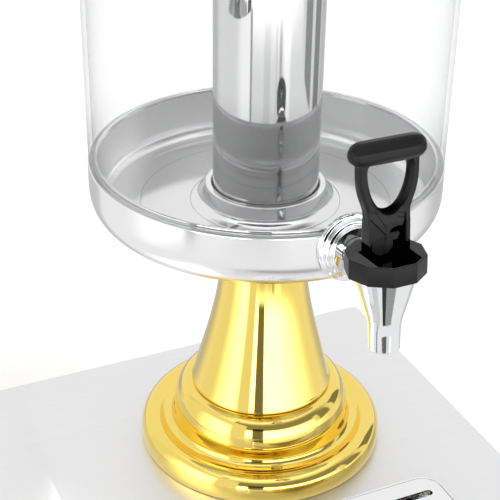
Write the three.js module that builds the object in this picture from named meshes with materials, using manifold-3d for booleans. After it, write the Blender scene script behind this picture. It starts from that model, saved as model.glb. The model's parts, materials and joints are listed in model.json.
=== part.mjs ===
// Double juice dispenser: two clear tanks on gold pedestals over one base plate, each with its own tap.
// Millimetres, +Z up, taps towards -Y. The origin is on the floor, under the middle of the base plate.

import * as THREE from 'three';
import { mergeVertices, toCreasedNormals } from 'three/addons/utils/BufferGeometryUtils.js';
import Module from 'manifold-3d';

const wasm = await Module();
wasm.setup();

// Whole object
const seatGap = 0.3; // between pieces that rest on each other
const runningGap = 0.3; // around pins, shanks and studs
const sheet = 1.2; // pressed and spun steel
const cutOverrun = 5; // how far a cutting solid runs past what it cuts
const unitGap = 80; // between the two basins
const basinToSideEdge = 28.5; // the plate's edges lie this far outside the basins
const basinToBackEdge = 3.3;
const trayToFrontEdge = 21.7;
const weldDistance = 0.0001; // vertices closer than this are one

// Base plate and its feet
const plateHeight = 20;
const plateSheet = 1.5;
const plateCornerRadius = 4;
const plateLipWidth = 26;
const footHeight = 5;
const footRadius = 10;
const footInset = 13;
const footStemRadius = 3.5;
const footStemHeight = 6;

// Tie stud through each pedestal
const studRadius = 5;
const studHeadRadius = 9;
const studHeadHeight = 1.6;
const studPastNut = 2.3;
const washerRadius = 14;
const washerHeight = 1.6;
const studNutRadius = 9.2;
const studNutHeight = 8;

// Pedestal
const pedestalWall = 1.5;
const discRadius = 82.5;
const discEdgeHeight = 6;
const discCrestRadius = 73.2;
const discCrestHeight = 16.8;
const grooveRadius = 65;
const grooveHeight = 13.6;
const domeRadius = 59.5;
const domeWaistHeight = 22;
const domeTopHeight = 44.2;
const domePullShare = 0.6; // of the shoulder's width and height
const columnHeight = 130.3;
const columnFootRadius = 46.5;
const columnTopRadius = 26.6;
const columnLip = 1.8;
const columnPullShare = 0.855;
const columnBendShares = [0.474, 0.605]; // heights of the flare's two bends

// Basin
const basinRadius = 110;
const basinDepth = 36;
const basinCurveHeight = 20;
const basinCurveWidth = 20;
const ledgeWidth = 4; // carries the tank
const lipWidth = 2; // the low lip inside the ledge, which centres the tank
const lipHeight = 2.6;
const lipChamfer = 0.7;
const basinFilletWidth = 11;
const basinFloorDepth = 31; // floor below the rim
const basinCurveShares = [0.7, 0.4]; // pulls of the curve at the foot of the outer wall
const basinFilletShare = 0.9; // height over width of the fillet inside
const basinFilletPullShare = 0.4;
const socketBoreGap = 0.4;
const socketWall = 4.6;
const socketHeight = 11.8;
const socketFlangeWidth = 13.8;
const socketFloor = 2;

// Tank, ice tube and lid
const tankSetBack = 0.5; // from the basin's outer wall
const tankWall = 3;
const tankHeight = 250;
const gasketHeight = 0.8;
const gasketMargin = 0.6;
const tubeRadius = 33.2;
const tubeWall = 1;
const tubeToTankTop = 12; // tube mouth below the tank's rim
const lidSkirt = 9;
const lidGap = 0.9;
const lidRise = 11;
const lidShoulder = 14;
const lidCrownShares = [0.6, 0.3]; // where the crown bends, and how much of its rise the edge keeps
const knobRadius = 13;
const knobHeight = 30;
const knobNeckRadius = 6;
const knobFootShare = 1.5; // foot over neck
const screwRadius = 2.5;
const screwHeadRadius = 5;
const screwHeadHeight = 2.4;
const screwLength = 14;

// Tap, in its own frame: origin on the tap's axis level with the basin's rim, +Y to the wall
const tapToWall = 38; // from the tap's axis to the basin's outer wall
const tapLean = THREE.MathUtils.degToRad(6);
const bodyTop = -4.5;
const bodyTopRadius = 17.3;
const bodyShoulder = -14.5;
const bodyShoulderRadius = 14.5;
const spoutTop = -34;
const spoutRadius = 8.9;
const spoutBottom = -50;
const spoutEdge = 0.8;
const spoutBore = 6.3;
const chamberRadius = 11;
const chamberShoulder = -15;
const seatRadius = 7.8;
const seatLevel = -27;
const neckLevel = -5.5;
const neckRadius = 8.6;
const neckToWall = 5;
const shankRadius = 6.3;
const shankPastNut = 4.7;
const shankBore = 3;
const shankBoreLevel = -8;
const flangeRadius = 20;
const flangeSteps = 3;
const flangeStepWidth = 2.8;
const flangeStepDepth = 2.7;
const collarTop = 7;
const collarRadius = 22;
const collarSides = 10;
const collarChamfer = 0.7;
const collarSlotBack = 6.4;
const collarSlotLip = 1.4;
const sealRadius = 10.5;
const sealThickness = 3;
const shankNutRadius = 11.5;
const shankNutHeight = 5;

// Handle, pin and valve stem, in the tap's frame
const pivotLevel = 1.5;
const pinRadius = 1.5;
const pinLength = 34;
const blockHalfWidth = 12.2;
const blockDepth = 10;
const blockTop = 25;
const armHalfWidth = 17.4;
const armDepth = 8;
const openingHalfWidth = 12.6;
const openingBottom = 31;
const openingTop = 57.5;
const barLevel = 63.5;
const barLength = 44.5;
const barThickness = 12.8;
const barDepth = 12.4;
const handleBevel = 1;
const armBendShares = [0.3, 0.72]; // heights where the arms begin and end to spread
const barRoundShare = 0.7;
const openingPullShare = 0.6; // shape of the finger opening, in its own half width and height
const openingFlankShare = 0.45;
const openingCornerShares = [0.85, 0.15];
const recessLeft = 3.6;
const recessRight = 10.4;
const recessBottom = 8;
const recessTop = 16;
const recessDepth = 3;
const faceBottom = 4; // lower edge of the block's front face
const tongueHalfWidth = 3;
const tongueHalfDepth = 2;
const tongueTop = 5.4;
const tongueBottom = -7;
const stemRadius = 2.4;
const stemBottom = -26;
const stemLift = 4;
const cupRadius = 7;
const cupHeight = 9;
const cupNeckRadius = 4.6;
const cupLipHeight = 2.4;

// Drip tray and grid
const trayWidth = 150;
const trayDepth = 110;
const trayHeight = 13;
const trayCorner = 14;
const trayWall = 1.4;
const trayLedge = 3.4;
const trayPastTap = 12; // from the tap's axis to the tray's centre
const gridThickness = 1.5;
const gridFrame = 8;
const gridSlotWidth = 5;
const gridSlotPitch = 11;

// Sides of round pieces, and steps along each curve of an outline
const largeSides = 30;
const mediumSides = 20;
const smallSides = 16;
const tinySides = 12;
const curveSteps = 3;
const creaseAngle = THREE.MathUtils.degToRad(33); // edges turned further than this look sharp

// Levels worked out from the sizes above. A unit's own zero is the top face of the plate.
const unitSpacing = 2 * basinRadius + unitGap;
const unitToSideEdge = basinRadius + basinToSideEdge;
const unitToBackEdge = basinRadius + basinToBackEdge;
const tapReach = basinRadius + tapToWall;
const trayToAxis = tapReach + trayPastTap;
const unitToFrontEdge = trayToAxis + trayDepth / 2 + trayToFrontEdge;
const plateWidth = unitSpacing + 2 * unitToSideEdge;
const plateDepth = unitToFrontEdge + unitToBackEdge;
const plateTop = footHeight + plateHeight;
const columnBase = seatGap + domeTopHeight + seatGap;
const basinBase = columnBase + columnHeight + seatGap;
const rimLevel = basinBase + basinDepth;
const floorLevel = rimLevel - basinFloorDepth;
const holeRadius = studRadius + runningGap;
const studTail = plateSheet + washerHeight + studNutHeight + 2 * seatGap + studPastNut;
const domeSeatRadius = columnFootRadius + columnLip;
const unitCentreY = plateDepth / 2 - unitToBackEdge;
const basinInnerRadius = basinRadius - ledgeWidth - lipWidth;
const basinFloorRadius = basinInnerRadius - basinFilletWidth;
const tankRadius = basinRadius - tankSetBack;
const neckLength = tapToWall - neckToWall;
const shankNutStart = tapReach - basinInnerRadius + sealThickness + seatGap;
const shankLength = shankNutStart + shankNutHeight + shankPastNut;
const tankBase = rimLevel + seatGap + gasketHeight + seatGap;
const tankTop = rimLevel + tankHeight;
const socketBase = floorLevel + seatGap;
const tubeBase = socketBase + socketFloor + seatGap;
const collarBottom = bodyTop + seatGap;

// Colours and finishes
const finishes = {
  brushedPlate: [0xdcdddf, 0.38, 0.85],
  polishedSteel: [0xd4d5d7, 0.12, 1],
  gold: [0xf0c54a, 0.12, 1],
  chrome: [0xe6e7e9, 0.06, 1],
  black: [0x242426, 0.5, 0],
  rubber: [0x2b2b2d, 0.85, 0],
  silicone: [0xeeeeea, 0.6, 0],
  clear: [0xf6f8f9, 0.05, 0],
  zinc: [0xa9abad, 0.45, 0.9],
};

function finishOf(name) {
  const [color, roughness, metalness] = finishes[name];
  const material = new THREE.MeshStandardMaterial({ color, roughness, metalness });
  material.name = name;
  if (name === 'clear') {
    material.transparent = true;
    material.opacity = 0.25;
  }
  return material;
}

// Solids, joins and cuts

function solidOf(geometry) {
  const bare = geometry.clone();
  bare.deleteAttribute('normal');
  bare.deleteAttribute('uv');
  const merged = mergeVertices(bare, weldDistance);
  const vertProperties = new Float32Array(merged.attributes.position.array);
  const triVerts = new Uint32Array(merged.index.array);
  return new wasm.Manifold(new wasm.Mesh({ numProp: 3, vertProperties, triVerts }));
}

function geometryOf(solid) {
  const { vertProperties, triVerts } = solid.getMesh();
  const geometry = new THREE.BufferGeometry();
  geometry.setAttribute('position', new THREE.BufferAttribute(vertProperties, 3));
  geometry.setIndex(new THREE.BufferAttribute(triVerts, 1));
  return geometry;
}

function joined(...geometries) {
  return geometries.map(solidOf).reduce((whole, part) => whole.add(part));
}

function cutBy(solid, ...geometries) {
  return geometries.map(solidOf).reduce((left, cutter) => left.subtract(cutter), solid);
}

// A closed profile of (radius, height) points turned about the Z axis
function turned(points, segments) {
  const outline = THREE.ShapeUtils.isClockWise(points) ? [...points].reverse() : [...points];
  const closes = outline[0].x > 0 || outline.at(-1).x > 0;
  if (closes) outline.push(outline[0].clone());
  return new THREE.LatheGeometry(outline, segments).rotateX(Math.PI / 2);
}

function pointsOf(pairs) {
  return pairs.map(([radius, height]) => new THREE.Vector2(radius, height));
}

// The profile of a wall: the outer line, and the same line set in by the wall's thickness
function wallProfile(line, wall) {
  const inner = line.map((point, index) => {
    const before = line[Math.max(index - 1, 0)];
    const after = line[Math.min(index + 1, line.length - 1)];
    const first = point.equals(before) ? after.clone().sub(point) : point.clone().sub(before);
    const second = point.equals(after) ? point.clone().sub(before) : after.clone().sub(point);
    const firstNormal = new THREE.Vector2(first.y, -first.x).normalize();
    const secondNormal = new THREE.Vector2(second.y, -second.x).normalize();
    const middle = firstNormal.clone().add(secondNormal).normalize();
    return point.clone().addScaledVector(middle, wall / middle.dot(firstNormal));
  });
  return [...line, ...inner.reverse()];
}

function rod(radius, from, to, segments) {
  const axis = new THREE.Vector3().subVectors(to, from);
  const turn = new THREE.Quaternion().setFromUnitVectors(
    new THREE.Vector3(0, 1, 0),
    axis.clone().normalize(),
  );
  const middle = new THREE.Vector3().addVectors(from, to).multiplyScalar(0.5);
  return new THREE.CylinderGeometry(radius, radius, axis.length(), segments)
    .applyQuaternion(turn)
    .translate(middle.x, middle.y, middle.z);
}

function upright(radius, bottom, top, x = 0, y = 0, segments = tinySides) {
  return rod(radius, new THREE.Vector3(x, y, bottom), new THREE.Vector3(x, y, top), segments);
}

function block(xLow, xHigh, yLow, yHigh, zLow, zHigh) {
  return new THREE.BoxGeometry(xHigh - xLow, yHigh - yLow, zHigh - zLow).translate(
    (xLow + xHigh) / 2,
    (yLow + yHigh) / 2,
    (zLow + zHigh) / 2,
  );
}

function roundedRectangle(width, depth, radius) {
  const shape = new THREE.Shape();
  const x = width / 2;
  const y = depth / 2;
  shape.moveTo(x, y - radius);
  shape.absarc(x - radius, y - radius, radius, 0, Math.PI / 2);
  shape.absarc(radius - x, y - radius, radius, Math.PI / 2, Math.PI);
  shape.absarc(radius - x, radius - y, radius, Math.PI, 1.5 * Math.PI);
  shape.absarc(x - radius, radius - y, radius, 1.5 * Math.PI, 2 * Math.PI);
  return shape;
}

function slab(shape, bottom, top, curveSegments = curveSteps) {
  const depth = top - bottom;
  return new THREE.ExtrudeGeometry(shape, { depth, bevelEnabled: false, curveSegments })
    .translate(0, 0, bottom);
}

function polygon(radius, sides, hole) {
  const shape = new THREE.Shape();
  for (let side = 0; side < sides; side += 1) {
    const angle = (2 * Math.PI * (side + 0.5)) / sides - Math.PI / 2;
    const x = radius * Math.cos(angle);
    const y = radius * Math.sin(angle);
    if (side === 0) shape.moveTo(x, y);
    else shape.lineTo(x, y);
  }
  shape.closePath();
  if (hole) {
    const bore = new THREE.Path();
    bore.absarc(0, 0, hole, 0, 2 * Math.PI, true);
    shape.holes.push(bore);
  }
  return shape;
}

function place(group, name, finish, geometry) {
  const mesh = new THREE.Mesh(toCreasedNormals(geometry, creaseAngle), finishOf(finish));
  mesh.name = name;
  group.add(mesh);
  return mesh;
}

// Base plate: a folded tray, open below, with a return lip that carries the feet
function basePlate() {
  const bottom = footHeight;
  const folded = roundedRectangle(plateWidth, plateDepth, plateCornerRadius);
  const inside = roundedRectangle(
    plateWidth - 2 * plateSheet,
    plateDepth - 2 * plateSheet,
    plateCornerRadius - plateSheet,
  );
  const mouth = roundedRectangle(
    plateWidth - 2 * plateLipWidth,
    plateDepth - 2 * plateLipWidth,
    plateCornerRadius,
  );
  const studHoles = [-1, 1].map((side) => upright(
    holeRadius,
    plateTop - plateSheet - cutOverrun,
    plateTop + cutOverrun,
    (side * unitSpacing) / 2,
    unitCentreY,
  ));
  const stemHoles = footPlaces().map(([x, y]) => upright(
    footStemRadius + runningGap,
    bottom - cutOverrun,
    bottom + cutOverrun,
    x,
    y,
  ));
  return geometryOf(cutBy(
    solidOf(slab(folded, bottom, plateTop)),
    slab(inside, bottom + plateSheet, plateTop - plateSheet),
    slab(mouth, bottom - cutOverrun, bottom + plateSheet + seatGap),
    ...studHoles,
    ...stemHoles,
  ));
}

function footPlaces() {
  const x = plateWidth / 2 - footInset;
  const y = plateDepth / 2 - footInset;
  return [[-x, -y], [x, -y], [-x, y], [x, y]];
}

function rubberFoot() {
  const top = footHeight - seatGap;
  return turned(pointsOf([
    [0, 0],
    [footRadius - footStemRadius / 2, 0],
    [footRadius, top],
    [footStemRadius, top],
    [footStemRadius, top + footStemHeight],
    [0, top + footStemHeight],
  ]), smallSides);
}

// Pedestal foot: a spun shell, dome over a groove over a rolled disc edge
function pedestalFoot() {
  const line = new THREE.Path();
  line.moveTo(holeRadius, domeTopHeight);
  line.lineTo(domeSeatRadius, domeTopHeight);
  line.bezierCurveTo(
    domeSeatRadius + (domeRadius - domeSeatRadius) * domePullShare,
    domeTopHeight,
    domeRadius,
    domeWaistHeight + (domeTopHeight - domeWaistHeight) * domePullShare,
    domeRadius,
    domeWaistHeight,
  );
  line.quadraticCurveTo(domeRadius, grooveHeight, grooveRadius, grooveHeight);
  line.lineTo(discCrestRadius, discCrestHeight);
  line.quadraticCurveTo(discRadius, discCrestHeight, discRadius, discEdgeHeight);
  line.lineTo(discRadius, 0);
  return turned(wallProfile(line.getPoints(curveSteps), pedestalWall), largeSides)
    .translate(0, 0, seatGap);
}

// Pedestal column: a spun shell that flares from the basin down to a rolled lip
function pedestalColumn() {
  const flare = columnFootRadius - columnTopRadius;
  const [lowBend, highBend] = columnBendShares;
  const line = new THREE.Path();
  line.moveTo(holeRadius, columnHeight);
  line.lineTo(columnTopRadius, columnHeight);
  line.bezierCurveTo(
    columnTopRadius,
    columnHeight * highBend,
    columnFootRadius - flare * columnPullShare,
    columnHeight * lowBend,
    columnFootRadius,
    2 * columnLip,
  );
  line.lineTo(columnFootRadius + columnLip / 2, columnLip);
  line.lineTo(columnFootRadius + columnLip / 2, 0);
  return turned(wallProfile(line.getPoints(2 * curveSteps), pedestalWall), mediumSides)
    .translate(0, 0, columnBase);
}

function tieStud() {
  const top = floorLevel + seatGap;
  return turned(pointsOf([
    [0, -studTail],
    [studRadius, -studTail],
    [studRadius, top],
    [studHeadRadius, top],
    [studHeadRadius, top + studHeadHeight],
    [0, top + studHeadHeight],
  ]), tinySides);
}

function studWasher() {
  const top = -plateSheet - seatGap;
  return turned(pointsOf([
    [holeRadius, top - washerHeight],
    [washerRadius, top - washerHeight],
    [washerRadius, top],
    [holeRadius, top],
  ]), tinySides);
}

function studNut() {
  const top = -plateSheet - washerHeight - 2 * seatGap;
  return slab(polygon(studNutRadius, 6, holeRadius), top - studNutHeight, top, tinySides / 2);
}

// Basin: a double-walled bowl with a ledge for the tank and a low lip inside it
function basinOutline(inset, steps) {
  const line = new THREE.Path();
  const outer = basinRadius - inset;
  const curveStart = basinRadius - basinCurveWidth;
  const bottom = inset;
  const ledge = basinRadius - ledgeWidth;
  const [widthPull, heightPull] = basinCurveShares;
  line.moveTo(curveStart, bottom);
  line.bezierCurveTo(
    curveStart + basinCurveWidth * widthPull - inset,
    bottom,
    outer,
    basinCurveHeight * heightPull,
    outer,
    basinCurveHeight,
  );
  line.lineTo(outer, basinDepth - inset);
  if (inset > 0) {
    line.lineTo(basinInnerRadius + inset, basinDepth - inset);
  } else {
    const lipTop = basinDepth + lipHeight;
    line.lineTo(ledge, basinDepth);
    line.lineTo(ledge, lipTop - lipChamfer);
    line.lineTo(ledge - lipChamfer, lipTop);
    line.lineTo(basinInnerRadius + lipChamfer, lipTop);
    line.lineTo(basinInnerRadius, lipTop - lipChamfer);
  }
  const floor = basinDepth - basinFloorDepth - inset;
  const wallFoot = basinFilletWidth * basinFilletShare;
  const pull = wallFoot * basinFilletPullShare;
  line.lineTo(basinInnerRadius + inset, floor + wallFoot);
  line.bezierCurveTo(
    basinInnerRadius + inset,
    floor + pull,
    basinInnerRadius - pull,
    floor,
    basinFloorRadius,
    floor,
  );
  return line.getPoints(steps);
}

function basin() {
  const outline = basinOutline(0, curveSteps);
  const hollow = basinOutline(sheet, curveSteps - 1);
  const floor = basinDepth - basinFloorDepth;
  const body = turned([...pointsOf([[0, floor], [0, 0]]), ...outline], largeSides);
  const space = turned([...pointsOf([[0, floor - sheet], [0, sheet]]), ...hollow], largeSides);
  const shankHole = tapToUnit(rod(
    shankRadius + runningGap,
    new THREE.Vector3(0, tapToWall - cutOverrun, neckLevel),
    new THREE.Vector3(0, shankLength + cutOverrun, neckLevel),
    smallSides,
  )).translate(0, 0, -basinBase);
  const studHole = upright(holeRadius, -cutOverrun, basinDepth);
  return geometryOf(cutBy(solidOf(body), space, shankHole, studHole)).translate(0, 0, basinBase);
}

// Tube socket: a raised ring with a flared foot on the basin's floor
function tubeSocket() {
  const bore = tubeRadius + socketBoreGap;
  const ring = bore + socketWall;
  const flange = ring + socketFlangeWidth - socketWall;
  const foot = socketFloor;
  const line = new THREE.Path();
  line.moveTo(studHeadRadius + runningGap, 0);
  line.lineTo(flange, 0);
  line.quadraticCurveTo(ring, foot / 2, ring, 2 * foot);
  line.lineTo(ring, socketHeight - foot / 2);
  line.lineTo(ring - foot / 2, socketHeight);
  line.lineTo(bore, socketHeight);
  line.lineTo(bore, foot);
  line.lineTo(studHeadRadius + runningGap, foot);
  return turned(line.getPoints(curveSteps), mediumSides).translate(0, 0, socketBase);
}

function iceTube() {
  const inner = tubeRadius - tubeWall;
  const top = tankTop - tubeToTankTop;
  return turned(pointsOf([
    [0, tubeBase],
    [tubeRadius, tubeBase],
    [tubeRadius, top],
    [inner, top],
    [inner, tubeBase + tubeWall],
    [0, tubeBase + tubeWall],
  ]), mediumSides);
}

function tankGasket() {
  const bottom = rimLevel + seatGap;
  const inner = basinRadius - ledgeWidth + gasketMargin;
  const outer = tankRadius - gasketMargin;
  return turned(pointsOf([
    [inner, bottom],
    [outer, bottom],
    [outer, bottom + gasketHeight],
    [inner, bottom + gasketHeight],
  ]), largeSides);
}

function tank() {
  const inner = tankRadius - tankWall;
  return turned(pointsOf([
    [inner, tankBase],
    [tankRadius, tankBase],
    [tankRadius, tankTop - tankWall / 3],
    [tankRadius - tankWall / 3, tankTop],
    [inner + tankWall / 3, tankTop],
    [inner, tankTop - tankWall / 3],
  ]), largeSides);
}

// Lid: a shallow spun cap whose skirt drops over the tank's rim
function lid() {
  const outer = tankRadius + lidGap + sheet;
  const seat = tankTop + seatGap + sheet;
  const [bendShare, edgeShare] = lidCrownShares;
  const line = new THREE.Path();
  line.moveTo(screwRadius + runningGap, seat + lidRise);
  line.quadraticCurveTo(
    outer * bendShare,
    seat + lidRise,
    outer - lidShoulder,
    seat + lidRise * edgeShare,
  );
  line.lineTo(outer - lidShoulder / 2, seat);
  line.lineTo(outer, seat);
  line.lineTo(outer, seat - lidSkirt);
  return turned(wallProfile(line.getPoints(curveSteps), sheet), largeSides);
}

function lidKnob() {
  const base = tankTop + 2 * seatGap + sheet + lidRise;
  const line = new THREE.Path();
  const middle = knobHeight - knobRadius;
  line.moveTo(0, 0);
  line.lineTo(knobNeckRadius * knobFootShare, 0);
  line.quadraticCurveTo(knobNeckRadius, 0, knobNeckRadius, middle / 2);
  line.quadraticCurveTo(knobRadius, middle / 2, knobRadius, middle);
  line.quadraticCurveTo(knobRadius, knobHeight, 0, knobHeight);
  const knob = turned(line.getPoints(curveSteps), smallSides);
  const bore = upright(screwRadius + runningGap, -cutOverrun, screwLength);
  return geometryOf(cutBy(solidOf(knob), bore)).translate(0, 0, base);
}

function knobScrew() {
  const head = tankTop + lidRise;
  return turned(pointsOf([
    [0, head - screwHeadHeight],
    [screwHeadRadius, head - screwHeadHeight],
    [screwHeadRadius, head],
    [screwRadius, head],
    [screwRadius, head + screwLength],
    [0, head + screwLength],
  ]), tinySides);
}

// The tap's frame leans back towards the tank
function tapMatrix() {
  return new THREE.Matrix4().makeRotationX(-tapLean).setPosition(0, -tapReach, rimLevel);
}

function tapToUnit(geometry) {
  return geometry.applyMatrix4(tapMatrix());
}

function unitToTap(geometry) {
  return geometry.applyMatrix4(tapMatrix().invert());
}

function alongWall(radius, from, to, level, segments = smallSides) {
  return rod(radius, new THREE.Vector3(0, from, level), new THREE.Vector3(0, to, level), segments);
}

// Tap body: a tapered cup with a spout below, a neck to the wall and a threaded shank through it
function tapBody() {
  const cup = turned(pointsOf([
    [0, spoutBottom],
    [spoutRadius - spoutEdge, spoutBottom],
    [spoutRadius, spoutBottom + spoutEdge],
    [spoutRadius, spoutTop],
    [bodyShoulderRadius, bodyShoulder],
    [bodyTopRadius, bodyTop],
    [0, bodyTop],
  ]), mediumSides);
  const chamber = turned(pointsOf([
    [0, spoutBottom - cutOverrun],
    [spoutBore, spoutBottom - cutOverrun],
    [spoutBore, seatLevel],
    [seatRadius, seatLevel],
    [chamberRadius, chamberShoulder],
    [chamberRadius, bodyTop + cutOverrun],
    [0, bodyTop + cutOverrun],
  ]), smallSides);
  const neck = alongWall(neckRadius, bodyShoulderRadius / 2, neckLength, neckLevel);
  const shank = alongWall(shankRadius, bodyShoulderRadius, shankLength, neckLevel);
  const passage = alongWall(shankBore, 0, shankLength + cutOverrun, shankBoreLevel, tinySides);
  const collarSpace = upright(
    collarRadius + runningGap,
    bodyTop,
    collarTop + cutOverrun,
    0,
    0,
    collarSides * 2,
  );
  return geometryOf(cutBy(joined(cup, neck, shank), chamber, passage, collarSpace));
}

// Tap flange: stepped rings whose back is hollowed to fit the round wall
function tapFlange() {
  const wallSide = tapReach - basinRadius + flangeStepDepth;
  const wide = neckRadius + runningGap;
  const narrow = shankRadius + runningGap;
  const pairs = [[wide, wallSide - flangeSteps * flangeStepDepth - sheet]];
  for (let step = flangeSteps - 1; step >= 0; step -= 1) {
    const radius = flangeRadius - step * flangeStepWidth;
    const near = wallSide - (step + 1) * flangeStepDepth - sheet;
    pairs.push([radius, near]);
    pairs.push([radius, near + flangeStepDepth]);
  }
  pairs[pairs.length - 1][1] = wallSide + sheet;
  pairs.push([narrow, wallSide + sheet]);
  pairs.push([narrow, neckLength + seatGap]);
  pairs.push([wide, neckLength + seatGap]);
  const rings = turned(pointsOf(pairs), mediumSides)
    .rotateX(-Math.PI / 2)
    .translate(0, 0, neckLevel);
  const wall = unitToTap(upright(
    basinRadius + runningGap,
    rimLevel - 2 * basinRadius,
    rimLevel + 2 * basinRadius,
    0,
    0,
    largeSides * 2,
  ));
  return geometryOf(cutBy(solidOf(rings), wall));
}

// Tap collar: a ten-sided ring with the slot that the handle tilts in
function tapCollar() {
  const height = collarTop - collarBottom;
  const ring = new THREE.ExtrudeGeometry(polygon(collarRadius - collarChamfer, collarSides), {
    depth: height - 2 * collarChamfer,
    bevelSize: collarChamfer,
    bevelThickness: collarChamfer,
    bevelSegments: 1,
  }).translate(0, 0, collarBottom + collarChamfer);
  const slotHalfWidth = blockHalfWidth + 2 * runningGap;
  const slotBottom = collarBottom - cutOverrun;
  const slotTop = collarTop + cutOverrun;
  const slot = block(
    -slotHalfWidth,
    slotHalfWidth,
    -collarRadius,
    collarSlotBack,
    slotBottom,
    slotTop,
  );
  const insideLip = slab(polygon(collarRadius - collarSlotLip, collarSides), slotBottom, slotTop);
  const opening = geometryOf(solidOf(slot).intersect(solidOf(insideLip)));
  const pinHole = pivotRod(pinRadius + runningGap, pinLength + 2 * seatGap);
  return geometryOf(cutBy(solidOf(ring), opening, pinHole));
}

function pivotRod(radius, length) {
  return rod(
    radius,
    new THREE.Vector3(-length / 2, 0, pivotLevel),
    new THREE.Vector3(length / 2, 0, pivotLevel),
    tinySides,
  );
}

// Tap handle: a slotted block, two arms that spread upwards and a cross bar
function handleFace() {
  const shape = new THREE.Shape();
  const armTop = barLevel;
  const rise = armTop - blockTop;
  const [lowBend, highBend] = armBendShares;
  const bottom = pivotLevel - blockDepth / 2 - seatGap;
  const width = blockHalfWidth - handleBevel;
  const spread = armHalfWidth - handleBevel;
  shape.moveTo(-width, bottom);
  shape.lineTo(width, bottom);
  shape.lineTo(width, blockTop);
  shape.bezierCurveTo(
    width,
    blockTop + rise * lowBend,
    spread,
    blockTop + rise * lowBend,
    spread,
    blockTop + rise * highBend,
  );
  shape.lineTo(spread, armTop);
  shape.lineTo(-spread, armTop);
  shape.lineTo(-spread, blockTop + rise * highBend);
  shape.bezierCurveTo(
    -spread,
    blockTop + rise * lowBend,
    -width,
    blockTop + rise * lowBend,
    -width,
    blockTop,
  );
  shape.closePath();
  shape.holes.push(fingerOpening());
  return shape;
}

function fingerOpening() {
  const hole = new THREE.Path();
  const half = openingHalfWidth + handleBevel;
  const bottom = openingBottom - handleBevel;
  const rise = openingTop - bottom;
  const [topShare, cornerShare] = openingCornerShares;
  const pull = half * openingPullShare;
  const flank = bottom + rise * openingFlankShare;
  const corner = openingTop - rise * cornerShare;
  hole.moveTo(0, bottom);
  hole.bezierCurveTo(-pull, bottom, -half, flank, -half, corner);
  hole.lineTo(-half * topShare, openingTop);
  hole.lineTo(half * topShare, openingTop);
  hole.lineTo(half, corner);
  hole.bezierCurveTo(half, flank, pull, bottom, 0, bottom);
  return hole;
}

function handlePlate() {
  return new THREE.ExtrudeGeometry(handleFace(), {
    depth: blockDepth - 2 * handleBevel,
    bevelSize: handleBevel,
    bevelThickness: handleBevel,
    bevelSegments: 1,
    curveSegments: 2 * curveSteps,
  }).rotateX(Math.PI / 2).translate(0, blockDepth / 2 - handleBevel, 0);
}

// Seen from the side, the block ends in a half round about the pivot and the arms are thinner
function handleSide() {
  const shape = new THREE.Shape();
  const reach = blockDepth / 2;
  const thin = armDepth / 2;
  const top = barLevel;
  shape.moveTo(-reach, pivotLevel);
  shape.absarc(0, pivotLevel, reach, Math.PI, 2 * Math.PI);
  shape.lineTo(reach, blockTop);
  shape.lineTo(thin, openingBottom);
  shape.lineTo(thin, top);
  shape.lineTo(-thin, top);
  shape.lineTo(-thin, openingBottom);
  shape.lineTo(-reach, blockTop);
  shape.closePath();
  const width = 2 * armHalfWidth + cutOverrun;
  return new THREE.ExtrudeGeometry(shape, {
    depth: width,
    bevelEnabled: false,
    curveSegments: 2 * curveSteps,
  }).rotateX(Math.PI / 2).rotateZ(Math.PI / 2).translate(-width / 2, 0, 0);
}

function handleBar() {
  const round = Math.min(barThickness, barDepth) / 2;
  const end = round * barRoundShare;
  const section = roundedRectangle(barDepth - 2 * end, barThickness - 2 * end, round - end);
  return new THREE.ExtrudeGeometry(section, {
    depth: barLength - 2 * end,
    bevelSize: end,
    bevelThickness: end,
    bevelSegments: curveSteps,
    curveSegments: 2,
  }).rotateX(Math.PI / 2).rotateZ(Math.PI / 2).translate(end - barLength / 2, 0, barLevel);
}

function tapHandle() {
  const front = -blockDepth / 2;
  const pocket = tongueHalfWidth + 2 * runningGap;
  const pocketTop = tongueTop + stemLift + 2 * runningGap;
  const below = pivotLevel - blockDepth;
  const plate = solidOf(handlePlate()).intersect(solidOf(handleSide()));
  return geometryOf(cutBy(
    plate.add(solidOf(handleBar())),
    pivotRod(pinRadius + runningGap, pinLength + cutOverrun),
    block(-pocket, pocket, -tongueHalfDepth - 2 * runningGap, blockDepth, below, pocketTop),
    block(-pocket, pocket, -blockDepth, blockDepth, below, faceBottom),
    block(recessLeft, recessRight, front - cutOverrun, front + recessDepth, recessBottom, recessTop),
  ));
}

// Valve stem: a flat tongue with a long eye for the pin, and a rod down to the seat cup
function valveStem() {
  const eye = pinRadius + runningGap;
  const tongue = block(
    -tongueHalfWidth,
    tongueHalfWidth,
    -tongueHalfDepth,
    tongueHalfDepth,
    tongueBottom,
    tongueTop,
  );
  const shaft = upright(stemRadius, stemBottom, tongueBottom + tongueHalfDepth);
  const slot = block(
    -tongueHalfWidth - cutOverrun,
    tongueHalfWidth + cutOverrun,
    -eye,
    eye,
    pivotLevel - stemLift - eye,
    pivotLevel + eye,
  );
  return geometryOf(cutBy(joined(tongue, shaft), slot));
}

function seatCup() {
  const bottom = seatLevel + seatGap;
  const bore = stemRadius + runningGap;
  const floor = stemBottom - seatGap;
  return turned(pointsOf([
    [0, bottom],
    [cupRadius, bottom],
    [cupRadius, bottom + cupLipHeight],
    [cupNeckRadius, bottom + cupHeight],
    [bore, bottom + cupHeight],
    [bore, floor],
    [0, floor],
  ]), smallSides);
}

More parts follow.
